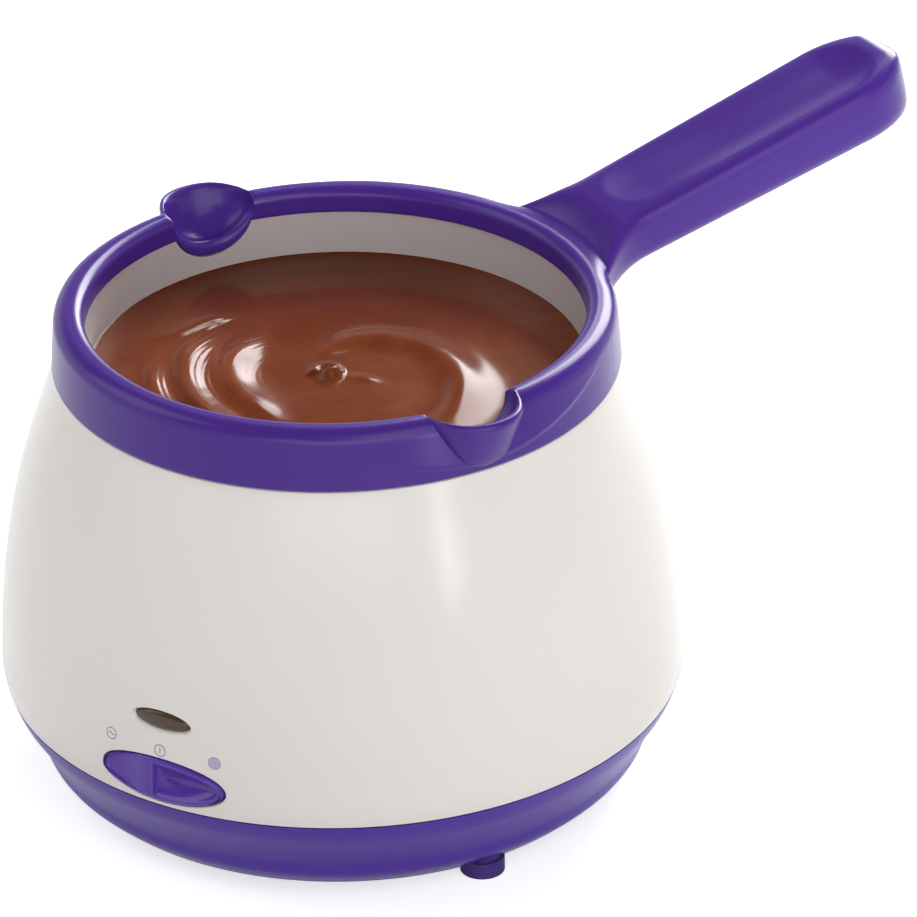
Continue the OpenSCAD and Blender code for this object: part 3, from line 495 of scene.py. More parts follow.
@dataclass(frozen=True)
class CoatedCup(Finish):
    """Grey-beige release coating inside a spun cup, a little lighter where chocolate was wiped away."""

    roughness: float = 0.34

    def paint(self, shader: Shader) -> None:
        """Fill the shader's sockets."""
        x, y, z = shader.axes()
        rings = ((x * x + y * y) ** 0.5 + z).sum("MULTIPLY", 4200.0).sine() * 0.5 + 0.5
        cloud = shader.noise(scale=60.0, detail=4.0, rough=0.6)
        flake = shader.noise(scale=3000.0, detail=1.0)
        colour = shader.blend(cloud * 0.6 + flake * 0.3 + rings * 0.1, shade(self.colour, 0.9),
                              shade(self.colour, 1.1))
        shader.set(Base_Color=colour, Metallic=0.15, Roughness=cloud * 0.1 + self.roughness,
                   Specular_IOR_Level=0.4, Normal=shader.bump(rings * 0.5 + flake * 0.5, depth_mm=0.012))


@dataclass(frozen=True)
class WetChocolate(Finish):
    """Melted milk chocolate: a glossy skin with faint streaks of cocoa butter and tiny bubbles, with
    painted shade that darkens it towards the back.
    """

    light: Colour
    roughness: float = 0.13
    specular: float = 0.25

    def paint(self, shader: Shader) -> None:
        """Fill the shader's sockets."""
        streak = shader.noise(scale=38.0, detail=4.0, rough=0.55, warp=1.4)
        cloud = shader.noise(scale=14.0, detail=2.0)
        mix = (streak * 0.6 + cloud * 0.4).ramp(0.32, 0.72, soft=True)
        x, y, _ = shader.axes()
        # Painted shade: the colour darkens towards the back of the cup, where the cup's wall shades the
        # chocolate.
        far = (y * 17.0 - x * 10.6).ramp(0.2, 1.0)
        colour = shader.blend(far, shader.blend(mix, self.colour, self.light), shade(self.colour, 0.58))
        ripple = shader.noise(scale=75.0, detail=2.0, rough=0.4, warp=0.6)
        bubble = shader.cells(scale=520.0).ramp(0.0, 0.12)
        rare = shader.noise(scale=140.0, detail=1.0).ramp(0.62, 0.7)
        relief = ripple * 0.85 + (1 - (1 - bubble) * rare) * 0.15
        shader.set(Base_Color=colour, Roughness=streak * 0.06 + self.roughness,
                   Specular_IOR_Level=self.specular, Normal=shader.bump(relief, depth_mm=0.16))


@dataclass(frozen=True)
class PrintedInk(Finish):
    """Thin printed ink, slightly broken at its edges."""

    def paint(self, shader: Shader) -> None:
        """Fill the shader's sockets."""
        speck = shader.noise(scale=4200.0, detail=2.0)
        colour = shader.blend(speck.ramp(0.35, 0.7), shade(self.colour, 0.92), shade(self.colour, 1.08))
        shader.set(Base_Color=colour, Roughness=speck * 0.1 + 0.35,
                   Normal=shader.bump(speck, depth_mm=0.004))


@dataclass
class PotBody:
    """Round outline of the warmer, shared by the housing and all that sits in its wall."""

    foot_z: float = 4.0
    shoulder_z: float = 106.6
    shoulder_r: float = 66.5
    widest_r: float = 82.4
    height_shares: tuple[float, ...] = (0, 0.039, 0.083, 0.132, 0.185, 0.244, 0.312, 0.409, 0.526, 0.643,
                                        0.76, 0.877, 1)
    bulge_shares: tuple[float, ...] = (0.155, 0.409, 0.508, 0.679, 0.886, 1, 0.984, 0.943, 0.855, 0.725,
                                       0.534, 0.29, 0)

    def radius(self, height: Array) -> Array:
        """Outer radius at a height: a cubic curve through the shares, with mean slopes at its points.

        Args:
            height: heights above the table.

        Returns:
            The radius at each height.
        """
        u, v = np.array(self.height_shares), np.array(self.bulge_shares)
        rise = np.diff(v) / np.diff(u)
        slope = np.concatenate([rise[:1], (rise[1:] + rise[:-1]) / 2, rise[-1:]])
        share = (np.asarray(height, float) - self.foot_z) / (self.shoulder_z - self.foot_z)
        share = np.clip(share, 0.0, 1.0)
        part = np.clip(np.searchsorted(u, share, side="right") - 1, 0, len(u) - 2)
        span = u[part + 1] - u[part]
        t = (share - u[part]) / span
        bulge = ((2 * t**3 - 3 * t**2 + 1) * v[part] + (t**3 - 2 * t**2 + t) * span * slope[part]
                 + (3 * t**2 - 2 * t**3) * v[part + 1] + (t**3 - t**2) * span * slope[part + 1])
        return self.shoulder_r + (self.widest_r - self.shoulder_r) * bulge


@dataclass
class PotCollar:
    """Collar of the pot with its two spouts and the handle, moulded as one."""

    low_z: float = 107.0
    height: float = 14.5
    mouth_r: float = 59.0
    top_r: float = 66.1
    low_r: float = 67.2
    lip_h: float = 6.4
    ledge_h: float = 3.1
    skirt_r: float = 64.5
    rebate_r: float = 61.95
    rim_round: float = 3.2
    mouth_round: float = 2.6
    foot_round: float = 0.5
    spout_w: float = 21.9
    spout_reach: float = 7.5
    spout_drop: float = 10.5
    spout_lip: float = 2.6
    spout_edge: float = 1.6
    nose_low: float = 1.0
    nose_power: float = 0.7
    cheek_turn: float = 38.6
    cheek_in: float = 1.1
    cheek_out: float = 1.0
    cheek_low: float = 2.6
    cheek_rise: float = 9.5
    handle_turn: float = 61.4
    handle_slope: float = 13.54
    handle_l: float = 95.8
    handle_root_w: float = 26.8
    handle_end_w: float = 29.5
    handle_root_t: float = 14.2
    handle_end_t: float = 18.2
    dish_depth: float = 1.9
    dish_band: float = 3.3
    dish_start: float = 12.0
    dish_end: float = 7.5
    root_sink: float = 1.3
    root_h: float = 11.5
    root_flare_w: float = 9.5
    root_flare_l: float = 16.0
    root_top_drop: float = 4.4
    root_top_l: float = 10.0
    root_low_drop: float = 3.2
    root_low_l: float = 13.0
    end_l: float = 18.0
    end_power: float = 2.0
    end_round_top: float = 5.0
    end_round_low: float = 5.5
    top_power: float = 6.0
    low_power: float = 3.2
    root_power: float = 3.0
    notch_steps: int = 30
    cheek_steps: int = 34
    plain_step_turn: float = 1.0
    wall_steps: int = 28
    round_steps: int = 9
    scoop_steps: int = 16
    patch_half_count: int = 22
    foot_steps: int = 4
    inner_steps: int = 4
    tuck_steps: int = 3
    root_steps: int = 34
    grip_steps: int = 63
    tip_steps: int = 29
    cheek_spacing: float = 1.3
    root_spacing: float = 1.35
    root_first: float = 0.05
    tip_last: float = 0.9995
    least_rise: float = 0.0004
    cheek_fade: float = 1.6
    edge_fade: float = 1.15
    bead_h: float = 0.9
    bead_w: float = 1.5
    scoop_start: float = 0.3
    scoop_power: float = 2.2
    tuck_r: float = 0.4
    flare_power: float = 2.4
    dish_soft: float = 0.35
    dish_shallow: float = 0.4
    dish_above: float = 0.55
    dish_fade: float = 4.0
    blend_r: float = 4.0
    blend_in: float = 2.0
    blend_half_w: float = 32.0
    blend_rounds: int = 14
    notch_h: float = 1.2
    notch_span: tuple[float, float] = (0.9, 1.06)
    notch_pull: float = 0.35

    @property
    def rim_z(self) -> float:
        """Height of the rim's top."""
        return self.low_z + self.height

    @property
    def half_mouth_turn(self) -> float:
        """Half of the angle that a spout's notch takes."""
        return float(np.degrees(np.arcsin(self.spout_w / 2 / self.mouth_r)))

    def half_turns(self) -> Array:
        """Angles from a spout's middle to the ring's side, closer together across the spout."""
        notch = self.half_mouth_turn * np.sin(np.linspace(0.0, np.pi / 2, self.notch_steps + 1))
        share = np.linspace(0.0, 1.0, self.cheek_steps + 1)[1:]
        cheek = self.half_mouth_turn + (self.cheek_turn - self.half_mouth_turn) \
            * share**self.cheek_spacing
        count = round((90.0 - self.cheek_turn) / self.plain_step_turn)
        return np.concatenate([notch, cheek, np.linspace(self.cheek_turn, 90.0, count + 1)[1:]])

    def nose_rise(self, height: Array) -> Array:
        """Share of the nose's height that lies below a point."""
        return (height - self.low_z - self.nose_low) / (self.height - self.nose_low)

    def nose_width(self, height: Array) -> Array:
        """Share of the notch's half angle that the nose takes: the square root of its rise."""
        return np.sqrt(np.clip(self.nose_rise(height), self.least_rise, 1.0))

    def warped(self, share: Array, height: Array) -> Array:
        """Move the grid's lines so that one of them follows the nose's crease.

        A line at a share of up to 1 of the notch's half angle is scaled by the nose's width at that
        height. The lines beyond close up evenly as far as the cheek reaches.

        Args:
            share: a line's angle over the notch's half angle.
            height: the height of each point.

        Returns:
            The moved share.
        """
        width = self.nose_width(height)
        reach = self.cheek_turn / self.half_mouth_turn
        size = np.abs(share)
        beyond = width + (size - 1.0) * (reach - width) / (reach - 1.0)
        moved = np.where(size <= 1.0, size * width, np.where(size < reach, beyond, size))
        return np.sign(share) * moved

    def cheek(self, turn: Array, height: Array) -> Array:
        """Lean of the wall beside a spout: out at the bottom, in at the top, fading along the ring."""
        fade = np.clip(1.0 - np.abs(turn) / self.cheek_turn, 0.0, 1.0)
        low = self.low_z + self.cheek_low + self.cheek_rise * (1.0 - fade) ** self.cheek_fade
        high = self.rim_z - self.rim_round / 2
        share = (height - low) / np.maximum(high - low, self.rim_round / 4)
        under = self.cheek_out * smooth_step(1.0 + (height - low) / (self.cheek_low / 2))
        over = self.cheek_out - (self.cheek_in + self.cheek_out) * np.minimum(share, 1.0)
        return fade * np.where(share < 0.0, under, over)

    def outer(self, share: Array, moved: Array, height: Array) -> Array:
        """Radius of the outer wall: a cone, the cheek's lean, and the nose.

        The nose is its reach times a power of its rise and of one less the square of the share across it.
        """
        cone = self.low_r + (self.top_r - self.low_r) * (height - self.low_z) / self.height
        across = np.clip(1.0 - share**2, 0.0, 1.0)
        rise = np.clip(self.nose_rise(height), 0.0, 1.0)
        lean = self.cheek(moved * self.half_mouth_turn, height)
        nose = self.spout_reach * (rise * across) ** self.nose_power
        return cone + lean * (1.0 - smooth_step(across)) + nose

    def wall(self, share: Array, edge: Array) -> tuple[Array, Array, Array]:
        """Outer wall from the foot's rounding to the top of the rim's rounding.

        Args:
            share: angle from a spout's middle over the notch's half angle, one row for each section.
            edge: radius of the rim's outer rounding in each section.

        Returns:
            Radius, moved share of the angle and height of each point.
        """
        rise = np.linspace(0.0, 1.0, self.wall_steps)
        wall_z = self.low_z + self.foot_round + (self.rim_z - edge - self.low_z - self.foot_round) * rise
        curve = np.linspace(0.0, np.pi / 2, self.round_steps + 1)[1:]
        height = np.concatenate([wall_z, self.rim_z - edge + edge * np.sin(curve)], axis=1)
        inward = np.concatenate([np.zeros_like(wall_z), edge * (1.0 - np.cos(curve))], axis=1)
        moved = self.warped(share, height)
        return self.outer(share, moved, height) - inward, moved, height

    def scoop(self, notch: Array, band: Array, floor_z: Array) -> tuple[Array, Array]:
        """Rim's top from the outer rounding inwards, sunk in the notches, and rounded into the mouth.

        Args:
            notch: share of the notch's depth in each section.
            band: radius where the outer rounding ends.
            floor_z: height of the scoop's floor.

        Returns:
            Radius and height of each point.
        """
        round_r = self.mouth_round + (self.spout_lip / 2 - self.mouth_round) * notch
        mouth = self.mouth_r + round_r
        step = 1.0 - np.linspace(0.0, 1.0, self.scoop_steps + 1)[1:]
        top_r = mouth + (band - mouth) * step
        bead = self.bead_h * notch * np.exp(-((top_r - mouth) / self.bead_w) ** 2)
        eased = smooth_step((1.0 - step) / self.scoop_start) * (1.0 - step**self.scoop_power)
        top_z = self.rim_z - self.spout_drop * notch * eased + bead
        turn_in = np.linspace(np.pi / 2, np.pi, self.round_steps + 1)[1:]
        in_r = mouth + round_r * np.cos(turn_in)
        in_z = floor_z + self.bead_h * notch * np.sin(turn_in) - round_r * (1.0 - np.sin(turn_in))
        return np.concatenate([top_r, in_r], axis=1), np.concatenate([top_z, in_z], axis=1)

    def inside(self, start_z: Array, floor_z: Array) -> tuple[Array, Array]:
        """Wall of the mouth, its tucked lower lip, and the rebate and skirt behind it.

        Args:
            start_z: height where the mouth's rounding ends.
            floor_z: height of the scoop's floor.

        Returns:
            Radius and height of each point.
        """
        lip_z = np.minimum(self.rim_z - self.lip_h, floor_z - self.spout_lip)
        down = np.linspace(0.0, 1.0, self.inner_steps + 1)[1:]
        wall_z = start_z + (lip_z + self.tuck_r - start_z) * down
        tuck = np.linspace(0.0, np.pi / 2, self.tuck_steps + 1)[1:]
        tuck_z = lip_z + self.tuck_r * (1.0 - np.sin(tuck))
        tuck_r = np.broadcast_to(self.mouth_r + self.tuck_r * (1.0 - np.cos(tuck)), tuck_z.shape)
        rebate_z = np.minimum(self.rim_z - self.lip_h, lip_z + self.spout_lip / 3)
        ledge_z = np.full_like(lip_z, self.low_z + self.ledge_h)
        back_z = np.concatenate([rebate_z, ledge_z, ledge_z, np.full_like(lip_z, self.low_z)], axis=1)
        behind = np.array([self.rebate_r, self.rebate_r, self.skirt_r, self.skirt_r])
        back_r = np.broadcast_to(behind, back_z.shape)
        radius = np.concatenate([np.full_like(wall_z, self.mouth_r), tuck_r, back_r], axis=1)
        return radius, np.concatenate([wall_z, tuck_z, back_z], axis=1)

    def sections(self, turns: Array) -> tuple[Array, Array, Array, tuple[int, int]]:
        """Closed sections of the ring, one row for each angle from a spout's middle.

        Args:
            turns: angles in degrees.

        Returns:
            Radius, angle and height of each point, and the first and last column of the handle's patch.
        """
        share = (turns / self.half_mouth_turn)[:, None]
        notch = np.sqrt(np.clip(1.0 - share**2, 0.0, 1.0))
        floor_z = self.rim_z - self.spout_drop * notch
        edge = self.rim_round + (self.spout_edge - self.rim_round) \
            * smooth_step(self.edge_fade * (1.0 - share**2))
        high_r, moved, high_z = self.wall(share, edge)
        under = np.linspace(-np.pi / 2, 0.0, self.foot_steps + 1)[:-1]
        foot_r = high_r[:, :1] - self.foot_round * (1.0 - np.cos(under))
        foot_z = np.broadcast_to(self.low_z + self.foot_round * (1.0 + np.sin(under)), foot_r.shape)
        top_r, top_z = self.scoop(notch, high_r[:, -1:], floor_z)
        in_r, in_z = self.inside(top_z[:, -1:], floor_z)
        radius = np.concatenate([foot_r, high_r, top_r, in_r], axis=1)
        height = np.concatenate([foot_z, high_z, top_z, in_z], axis=1)
        first, last = len(under), len(under) + high_z.shape[1]
        spread = np.broadcast_to(share, radius.shape).copy()
        spread[:, :first] = moved[:, :1]
        spread[:, first:last] = moved
        return radius, spread * self.half_mouth_turn, height, (first + 1, last - 1)

    def root_fall(self, along: Array, length: float) -> Array:
        """Fading of the root's flare: a power of one less the share of its length."""
        return np.clip(1.0 - (along + self.root_sink) / length, 0.0, None) ** self.flare_power

    def end_fall(self, along: Array, radius: float) -> Array:
        """Drop of the grip's end on a quarter circle."""
        share = np.clip((along - self.handle_l + radius) / radius, 0.0, 1.0)
        return radius * (1.0 - np.sqrt(1.0 - share**2))

    def dish(self, along: Array, across: Array, half_w: Array) -> Array:
        """Depth of the thumb rest: a parabola of the distance to a long outline with round ends."""
        wide = np.maximum(half_w - self.dish_band, 1.0)
        low, high = self.dish_start, self.handle_l - self.dish_end
        middle, half = (low + high) / 2, (high - low) / 2
        past = np.maximum(np.abs(along - middle) - (half - wide), 0.0)
        inside = wide - np.hypot(past, across)
        soft = (inside + np.sqrt(inside**2 + self.dish_soft)) / 2
        share = np.clip(soft / wide, 0.0, 1.0)
        run_in = smooth_step((along - low) / (2.0 * self.end_l))
        start = self.dish_shallow + (1.0 - self.dish_shallow) * run_in
        return self.dish_depth * start * (1.0 - (1.0 - share) ** 2)

    def stations(self) -> Array:
        """Places along the handle, closer together at its root and its end."""
        spaced = np.linspace(0.0, 1.0, self.root_steps) ** self.root_spacing
        near = (self.root_sink + self.root_flare_l) * (self.root_first + (1.0 - self.root_first) * spaced)
        start = self.handle_l - self.end_l
        far = np.linspace(self.root_flare_l, start, self.grip_steps + 1)[1:]
        quarter = np.linspace(0.0, np.pi / 2, self.tip_steps + 1)[1:]
        tip = start + self.end_l * self.tip_last * np.sin(quarter)
        return np.concatenate([near - self.root_sink, far, tip])[:, None]

    def outline(self, power: Array, side_steps: int) -> tuple[Array, Array]:
        """Section of the handle with half sizes of 1, as one closed row for each station.

        Its two halves follow the curve across^p + up^p = 1. The sides step evenly in height, and the top
        and the underside step evenly across.

        Args:
            power: the upper half's power at each station.
            side_steps: number of steps up one side.

        Returns:
            Place across and height of each point.
        """
        high_corner, low_corner = 0.5 ** (1.0 / power), 0.5 ** (1.0 / self.low_power)
        count = 2 * self.patch_half_count
        climb = (high_corner + low_corner) * np.arange(side_steps) / side_steps
        rise, fall = climb - low_corner, high_corner - climb
        side, side_down = (power_arc(line, np.where(line > 0.0, power, self.low_power))
                           for line in (rise, fall))
        cross = high_corner * (1.0 - 2.0 * np.arange(count) / count)
        sole = np.broadcast_to(low_corner * (2.0 * np.arange(count) / count - 1.0), cross.shape)
        crown, belly = power_arc(cross, power), power_arc(sole, self.low_power)
        across = np.concatenate([side, cross, -side_down, sole], axis=1)
        return across, np.concatenate([rise, crown, fall, -belly], axis=1)

    def grip(self, side_steps: int) -> Array:
        """Sections of the handle, each a closed row of points.

        They rise along the handle's slope, and near the root they bend to the ring's wall.

        Args:
            side_steps: number of steps up one side.

        Returns:
            The points, stations by places round the section.
        """
        along = self.stations()
        share = along / self.handle_l
        past = np.clip((along - self.handle_l + self.end_l) / self.end_l, 0.0, 1.0)
        full_w = (self.handle_root_w + (self.handle_end_w - self.handle_root_w) * share) / 2
        half_w = full_w * power_arc(past, self.end_power) \
            + self.root_flare_w * self.root_fall(along, self.root_flare_l)
        half_t = (self.handle_root_t + (self.handle_end_t - self.handle_root_t) * share) / 2
        top = half_t - self.end_fall(along, self.end_round_top) \
            - self.root_top_drop * self.root_fall(along, self.root_top_l)
        low = half_t - self.end_fall(along, self.end_round_low) \
            + self.root_low_drop * self.root_fall(along, self.root_low_l)
        bend = 1.0 - smooth_step((along + self.root_sink) / self.root_flare_l)
        across, up = self.outline(self.top_power + (self.root_power - self.top_power) * bend, side_steps)
        y = half_w * across
        upper = np.clip((up - self.dish_above) * self.dish_fade, 0.0, 1.0)
        hollow = self.dish(along, y, full_w) * upper * (1.0 - bend)
        h = np.where(up > 0.0, top, low) * up - hollow
        root_r = self.top_r - self.root_sink
        back = bend * (root_r - np.sqrt(np.maximum(root_r**2 - y**2, 0.0)))
        angle = np.radians(self.handle_slope)
        x = self.top_r + along * np.cos(angle) - h * np.sin(angle) * (1.0 - bend) - back
        z = self.low_z + self.root_h + along * np.sin(angle) + h * (bend + (1.0 - bend) * np.cos(angle))
        return joined(x, y, z)

    def build(self) -> bpy.types.Object:
        """Join ring and handle in one skin and round the edges where they meet.

        Returns:
            The finished object.
        """
        half = self.half_turns()
        one = np.concatenate([-half[:0:-1], half[:-1]])
        radius, turn, height, (low, high) = self.sections(one)
        local = np.concatenate([turn + 90.0, turn + 270.0])
        ring = ring_points(np.tile(radius, (2, 1)), local, np.tile(height, (2, 1)))
        rows, columns = ring.shape[:2]
        skin = Skin()
        index = skin.add_points(ring)
        count = self.patch_half_count
        keep = np.ones((rows, columns), dtype=bool)
        keep[np.arange(-count, count)[:, None] % rows, np.arange(low, high)[None, :]] = False
        skin.stitch(index, wrap_rows=True, wrap_columns=True, keep=keep)
        up = index[count, low:high]
        over = index[np.arange(count, -count, -1) % rows, high]
        down = index[-count % rows, np.arange(high, low, -1)]
        under = index[np.arange(-count, count) % rows, low]
        loop = np.concatenate([up, over, down, under])
        grip = skin.add_points(self.grip(high - low))
        skin.stitch(np.concatenate([loop[None, :], grip]), wrap_columns=True)
        points = np.concatenate(skin.points)
        skin.fan(grip[-1], points[grip[-1]].mean(axis=0))
        points = np.concatenate(skin.points)
        weight = self.root_weight(points, points[loop]) + self.notch_weight(points)
        skin.ease(np.clip(weight, 0.0, 1.0), self.blend_rounds)
        skin.points = [turned(skin.points[0], self.handle_turn)]
        return skin.piece("collar_with_handle", crease_turn=42.0)

    def root_weight(self, points: Array, loop: Array) -> Array:
        """Share of the rounding where the handle grows out of the ring, fading with the distance."""
        near = np.full(len(points), np.inf)
        close = (points[:, 0] > self.mouth_r - self.blend_in) & (np.abs(points[:, 1]) < self.blend_half_w)
        chosen = np.flatnonzero(close)
        near[chosen] = np.linalg.norm(points[chosen, None, :] - loop[None, ::2, :], axis=-1).min(axis=1)
        return 1.0 - smooth_step(near / self.blend_r)

    def notch_weight(self, points: Array) -> Array:
        """Share of the rounding along the upper corners of the notches, near the rim's top."""
        turn = np.degrees(np.arctan2(np.abs(points[:, 0]), np.abs(points[:, 1]))) / self.half_mouth_turn
        low, high = self.notch_span
        chosen = (points[:, 2] > self.rim_z - self.notch_h) & (turn > low) & (turn < high)
        return np.where(chosen, self.notch_pull, 0.0)


@dataclass(frozen=True)
class Fold:
    """One long wave in the chocolate: a curl about the swirl's middle with a round cross-section."""

    start_turn: float
    end_turn: float
    start_r: float
    end_r: float
    inner_w: float
    outer_w: float
    height: float
    bow: float = 0.0
    fade: float = 0.3

    def lift(self, turn: Array, reach: Array) -> Array:
        """Height that the wave adds at an angle and a distance from the swirl's middle.

        The crest's distance runs from the start to the end with the angle, plus a bow. Across it the
        height is a bell curve with its own width on each side, and along it the ends fade.

        Args:
            turn: angle in degrees.
            reach: distance in millimetres.

        Returns:
            The height in millimetres.
        """
        span = self.end_turn - self.start_turn
        total = np.zeros_like(reach)
        for lap in (-360.0, 0.0, 360.0):
            share = (turn + lap - self.start_turn) / span
            bowed = self.bow * np.sin(np.pi * np.clip(share, 0.0, 1.0))
            off = reach - (self.start_r + (self.end_r - self.start_r) * share + bowed)
            bell = np.exp(-(off / np.where(off < 0.0, self.inner_w, self.outer_w)) ** 2)
            ends = smooth_step(share / self.fade) * smooth_step((1.0 - share) / self.fade)
            total += self.height * bell * ends
        return total


@dataclass
class MeltedChocolate:
    """Melted chocolate with the swirl that a spoon left."""

    middle: tuple[float, float] = (-0.2, -4.1)
    radius: float = 58.85
    level_z: float = 103.8
    floor_z: float = 96.0
    swell_h: float = 0.2
    swell_pitch: float = 7.5
    swell_r: float = 24.0
    swell_w: float = 22.0
    rim_h: float = 0.7
    rim_w: float = 1.1
    calm_start: float = 9.0
    calm_w: float = 8.0
    stroke_h: float = 0.03
    stroke_turn: float = 208.0
    stroke_spread: float = 62.0
    stroke_r: float = 33.0
    stroke_w: float = 13.0
    stroke_gap: float = 0.45
    gap_wind: tuple[float, float] = (0.5, 5.0)
    stroke_winds: tuple[tuple[float, float], ...] = ((3.1, 2.0), (4.7, -3.0))
    knot_turn: float = 38.0
    knot_w: float = 4.4
    knot_l: float = 5.6
    roll_h: float = 2.7
    roll_r: float = 0.5
    roll_wind: float = 0.06
    roll_w: float = 0.3
    roll_lean: float = 0.34
    roll_phase: float = 1.2
    tail_h: float = 0.5
    tail_at: tuple[float, float] = (9.0, 0.4)
    tail_slope: float = 0.12
    tail_l: float = 3.6
    tail_w: float = 1.7
    rows: int = 190
    columns: int = 372
    row_spacing: float = 1.25
    # Each fold: start and end angle, start and end distance, inner and outer width, height, bow.
    folds: tuple[Fold, ...] = (
        Fold(138.0, -34.0, 10.0, 41.0, 3.8, 6.4, 2.0, 0.5),
        Fold(152.0, 288.0, 26.5, 25.5, 5.2, 3.2, 1.65, -3.0),
        Fold(166.0, 288.0, 36.0, 38.0, 5.2, 2.2, 1.9, -3.0),
        Fold(194.0, 276.0, 41.6, 42.9, 3.4, 2.4, 1.25, -1.0),
        Fold(156.0, 190.0, 38.0, 42.5, 2.6, 3.2, 0.75, 0.0),
        Fold(186.0, 50.0, 38.0, 47.0, 6.0, 5.0, -0.3, -4.0),
    )

    def relief(self, x: Array, y: Array) -> Array:
        """Height above the level: the folds, a slow swell, the knot, the strokes and the raised edge.

        Args:
            x: place along X.
            y: place along Y.

        Returns:
            The height in millimetres.
        """
        dx, dy = x - self.middle[0], y - self.middle[1]
        reach, turn = np.hypot(dx, dy), np.degrees(np.arctan2(dy, dx))
        angle = np.radians(turn)
        lift = sum(fold.lift(turn, reach) for fold in self.folds)
        swell = self.swell_h * np.sin(reach / self.swell_pitch + angle) \
            * np.exp(-((reach - self.swell_r) / self.swell_w) ** 2)
        edge = np.hypot(x, y)
        rim = self.rim_h * np.exp(-(self.radius - edge) / self.rim_w)
        calm = 1.0 - smooth_step((edge - self.radius + self.calm_start) / self.calm_w)
        return (lift + swell) * calm + self.knot(dx, dy) + self.strokes(reach, angle) + rim

    def strokes(self, reach: Array, angle: Array) -> Array:
        """Fine spiral ripples on one side of the swirl, which tear the edges of its highlights."""
        off = np.degrees(np.angle(np.exp(1j * (angle - np.radians(self.stroke_turn)))))
        off = off / self.stroke_spread
        patch = np.exp(-(off**2)) * np.exp(-((reach - self.stroke_r) / self.stroke_w) ** 2)
        winding = np.sin(self.gap_wind[1] * angle + self.gap_wind[0] * reach)
        ripple = sum(np.sin(along * reach + about * angle) for along, about in self.stroke_winds)
        return self.stroke_h * patch * (1.0 - self.stroke_gap + self.stroke_gap * winding) * ripple

    def knot(self, dx: Array, dy: Array) -> Array:
        """Knot in the middle of the swirl: a short roll that winds about a dimple, and its tail."""
        c, s = np.cos(np.radians(self.knot_turn)), np.sin(np.radians(self.knot_turn))
        u, v = (dx * c + dy * s) / self.knot_w, (-dx * s + dy * c) / self.knot_l
        rho, phi = np.hypot(u, v), np.arctan2(v, u)
        crest = np.exp(-((rho - self.roll_r - self.roll_wind * phi) / self.roll_w) ** 2)
        lean = 1.0 - self.roll_lean + self.roll_lean * np.cos(phi + self.roll_phase)
        along = (dx - self.tail_at[0]) / self.tail_l
        across = (dy - self.tail_at[1] - dx * self.tail_slope) / self.tail_w
        return self.roll_h * crest * lean + self.tail_h * np.exp(-(along**2 + across**2))

    def build(self) -> bpy.types.Object:
        """Make the surface as rings about the swirl's middle, then its side and underside.

        Returns:
            The finished object.
        """
        turn = full_turn(self.columns)
        share = np.linspace(0.0, 1.0, self.rows + 1)[1:, None] ** self.row_spacing
        edge_x, edge_y = self.radius * np.cos(turn), self.radius * np.sin(turn)
        x = self.middle[0] + (edge_x - self.middle[0]) * share
        y = self.middle[1] + (edge_y - self.middle[1]) * share
        top = joined(x, y, self.level_z + self.relief(x, y))
        low = joined(edge_x[None], edge_y[None], np.array(self.floor_z))
        middle = np.array(self.middle, float)
        peak = self.level_z + float(self.relief(middle[:1], middle[1:])[0])
        skin = Skin()
        skin.capped(np.concatenate([top, low]), (*self.middle, peak), (0.0, 0.0, self.floor_z))
        return skin.piece("melted_chocolate", crease_turn=75.0)


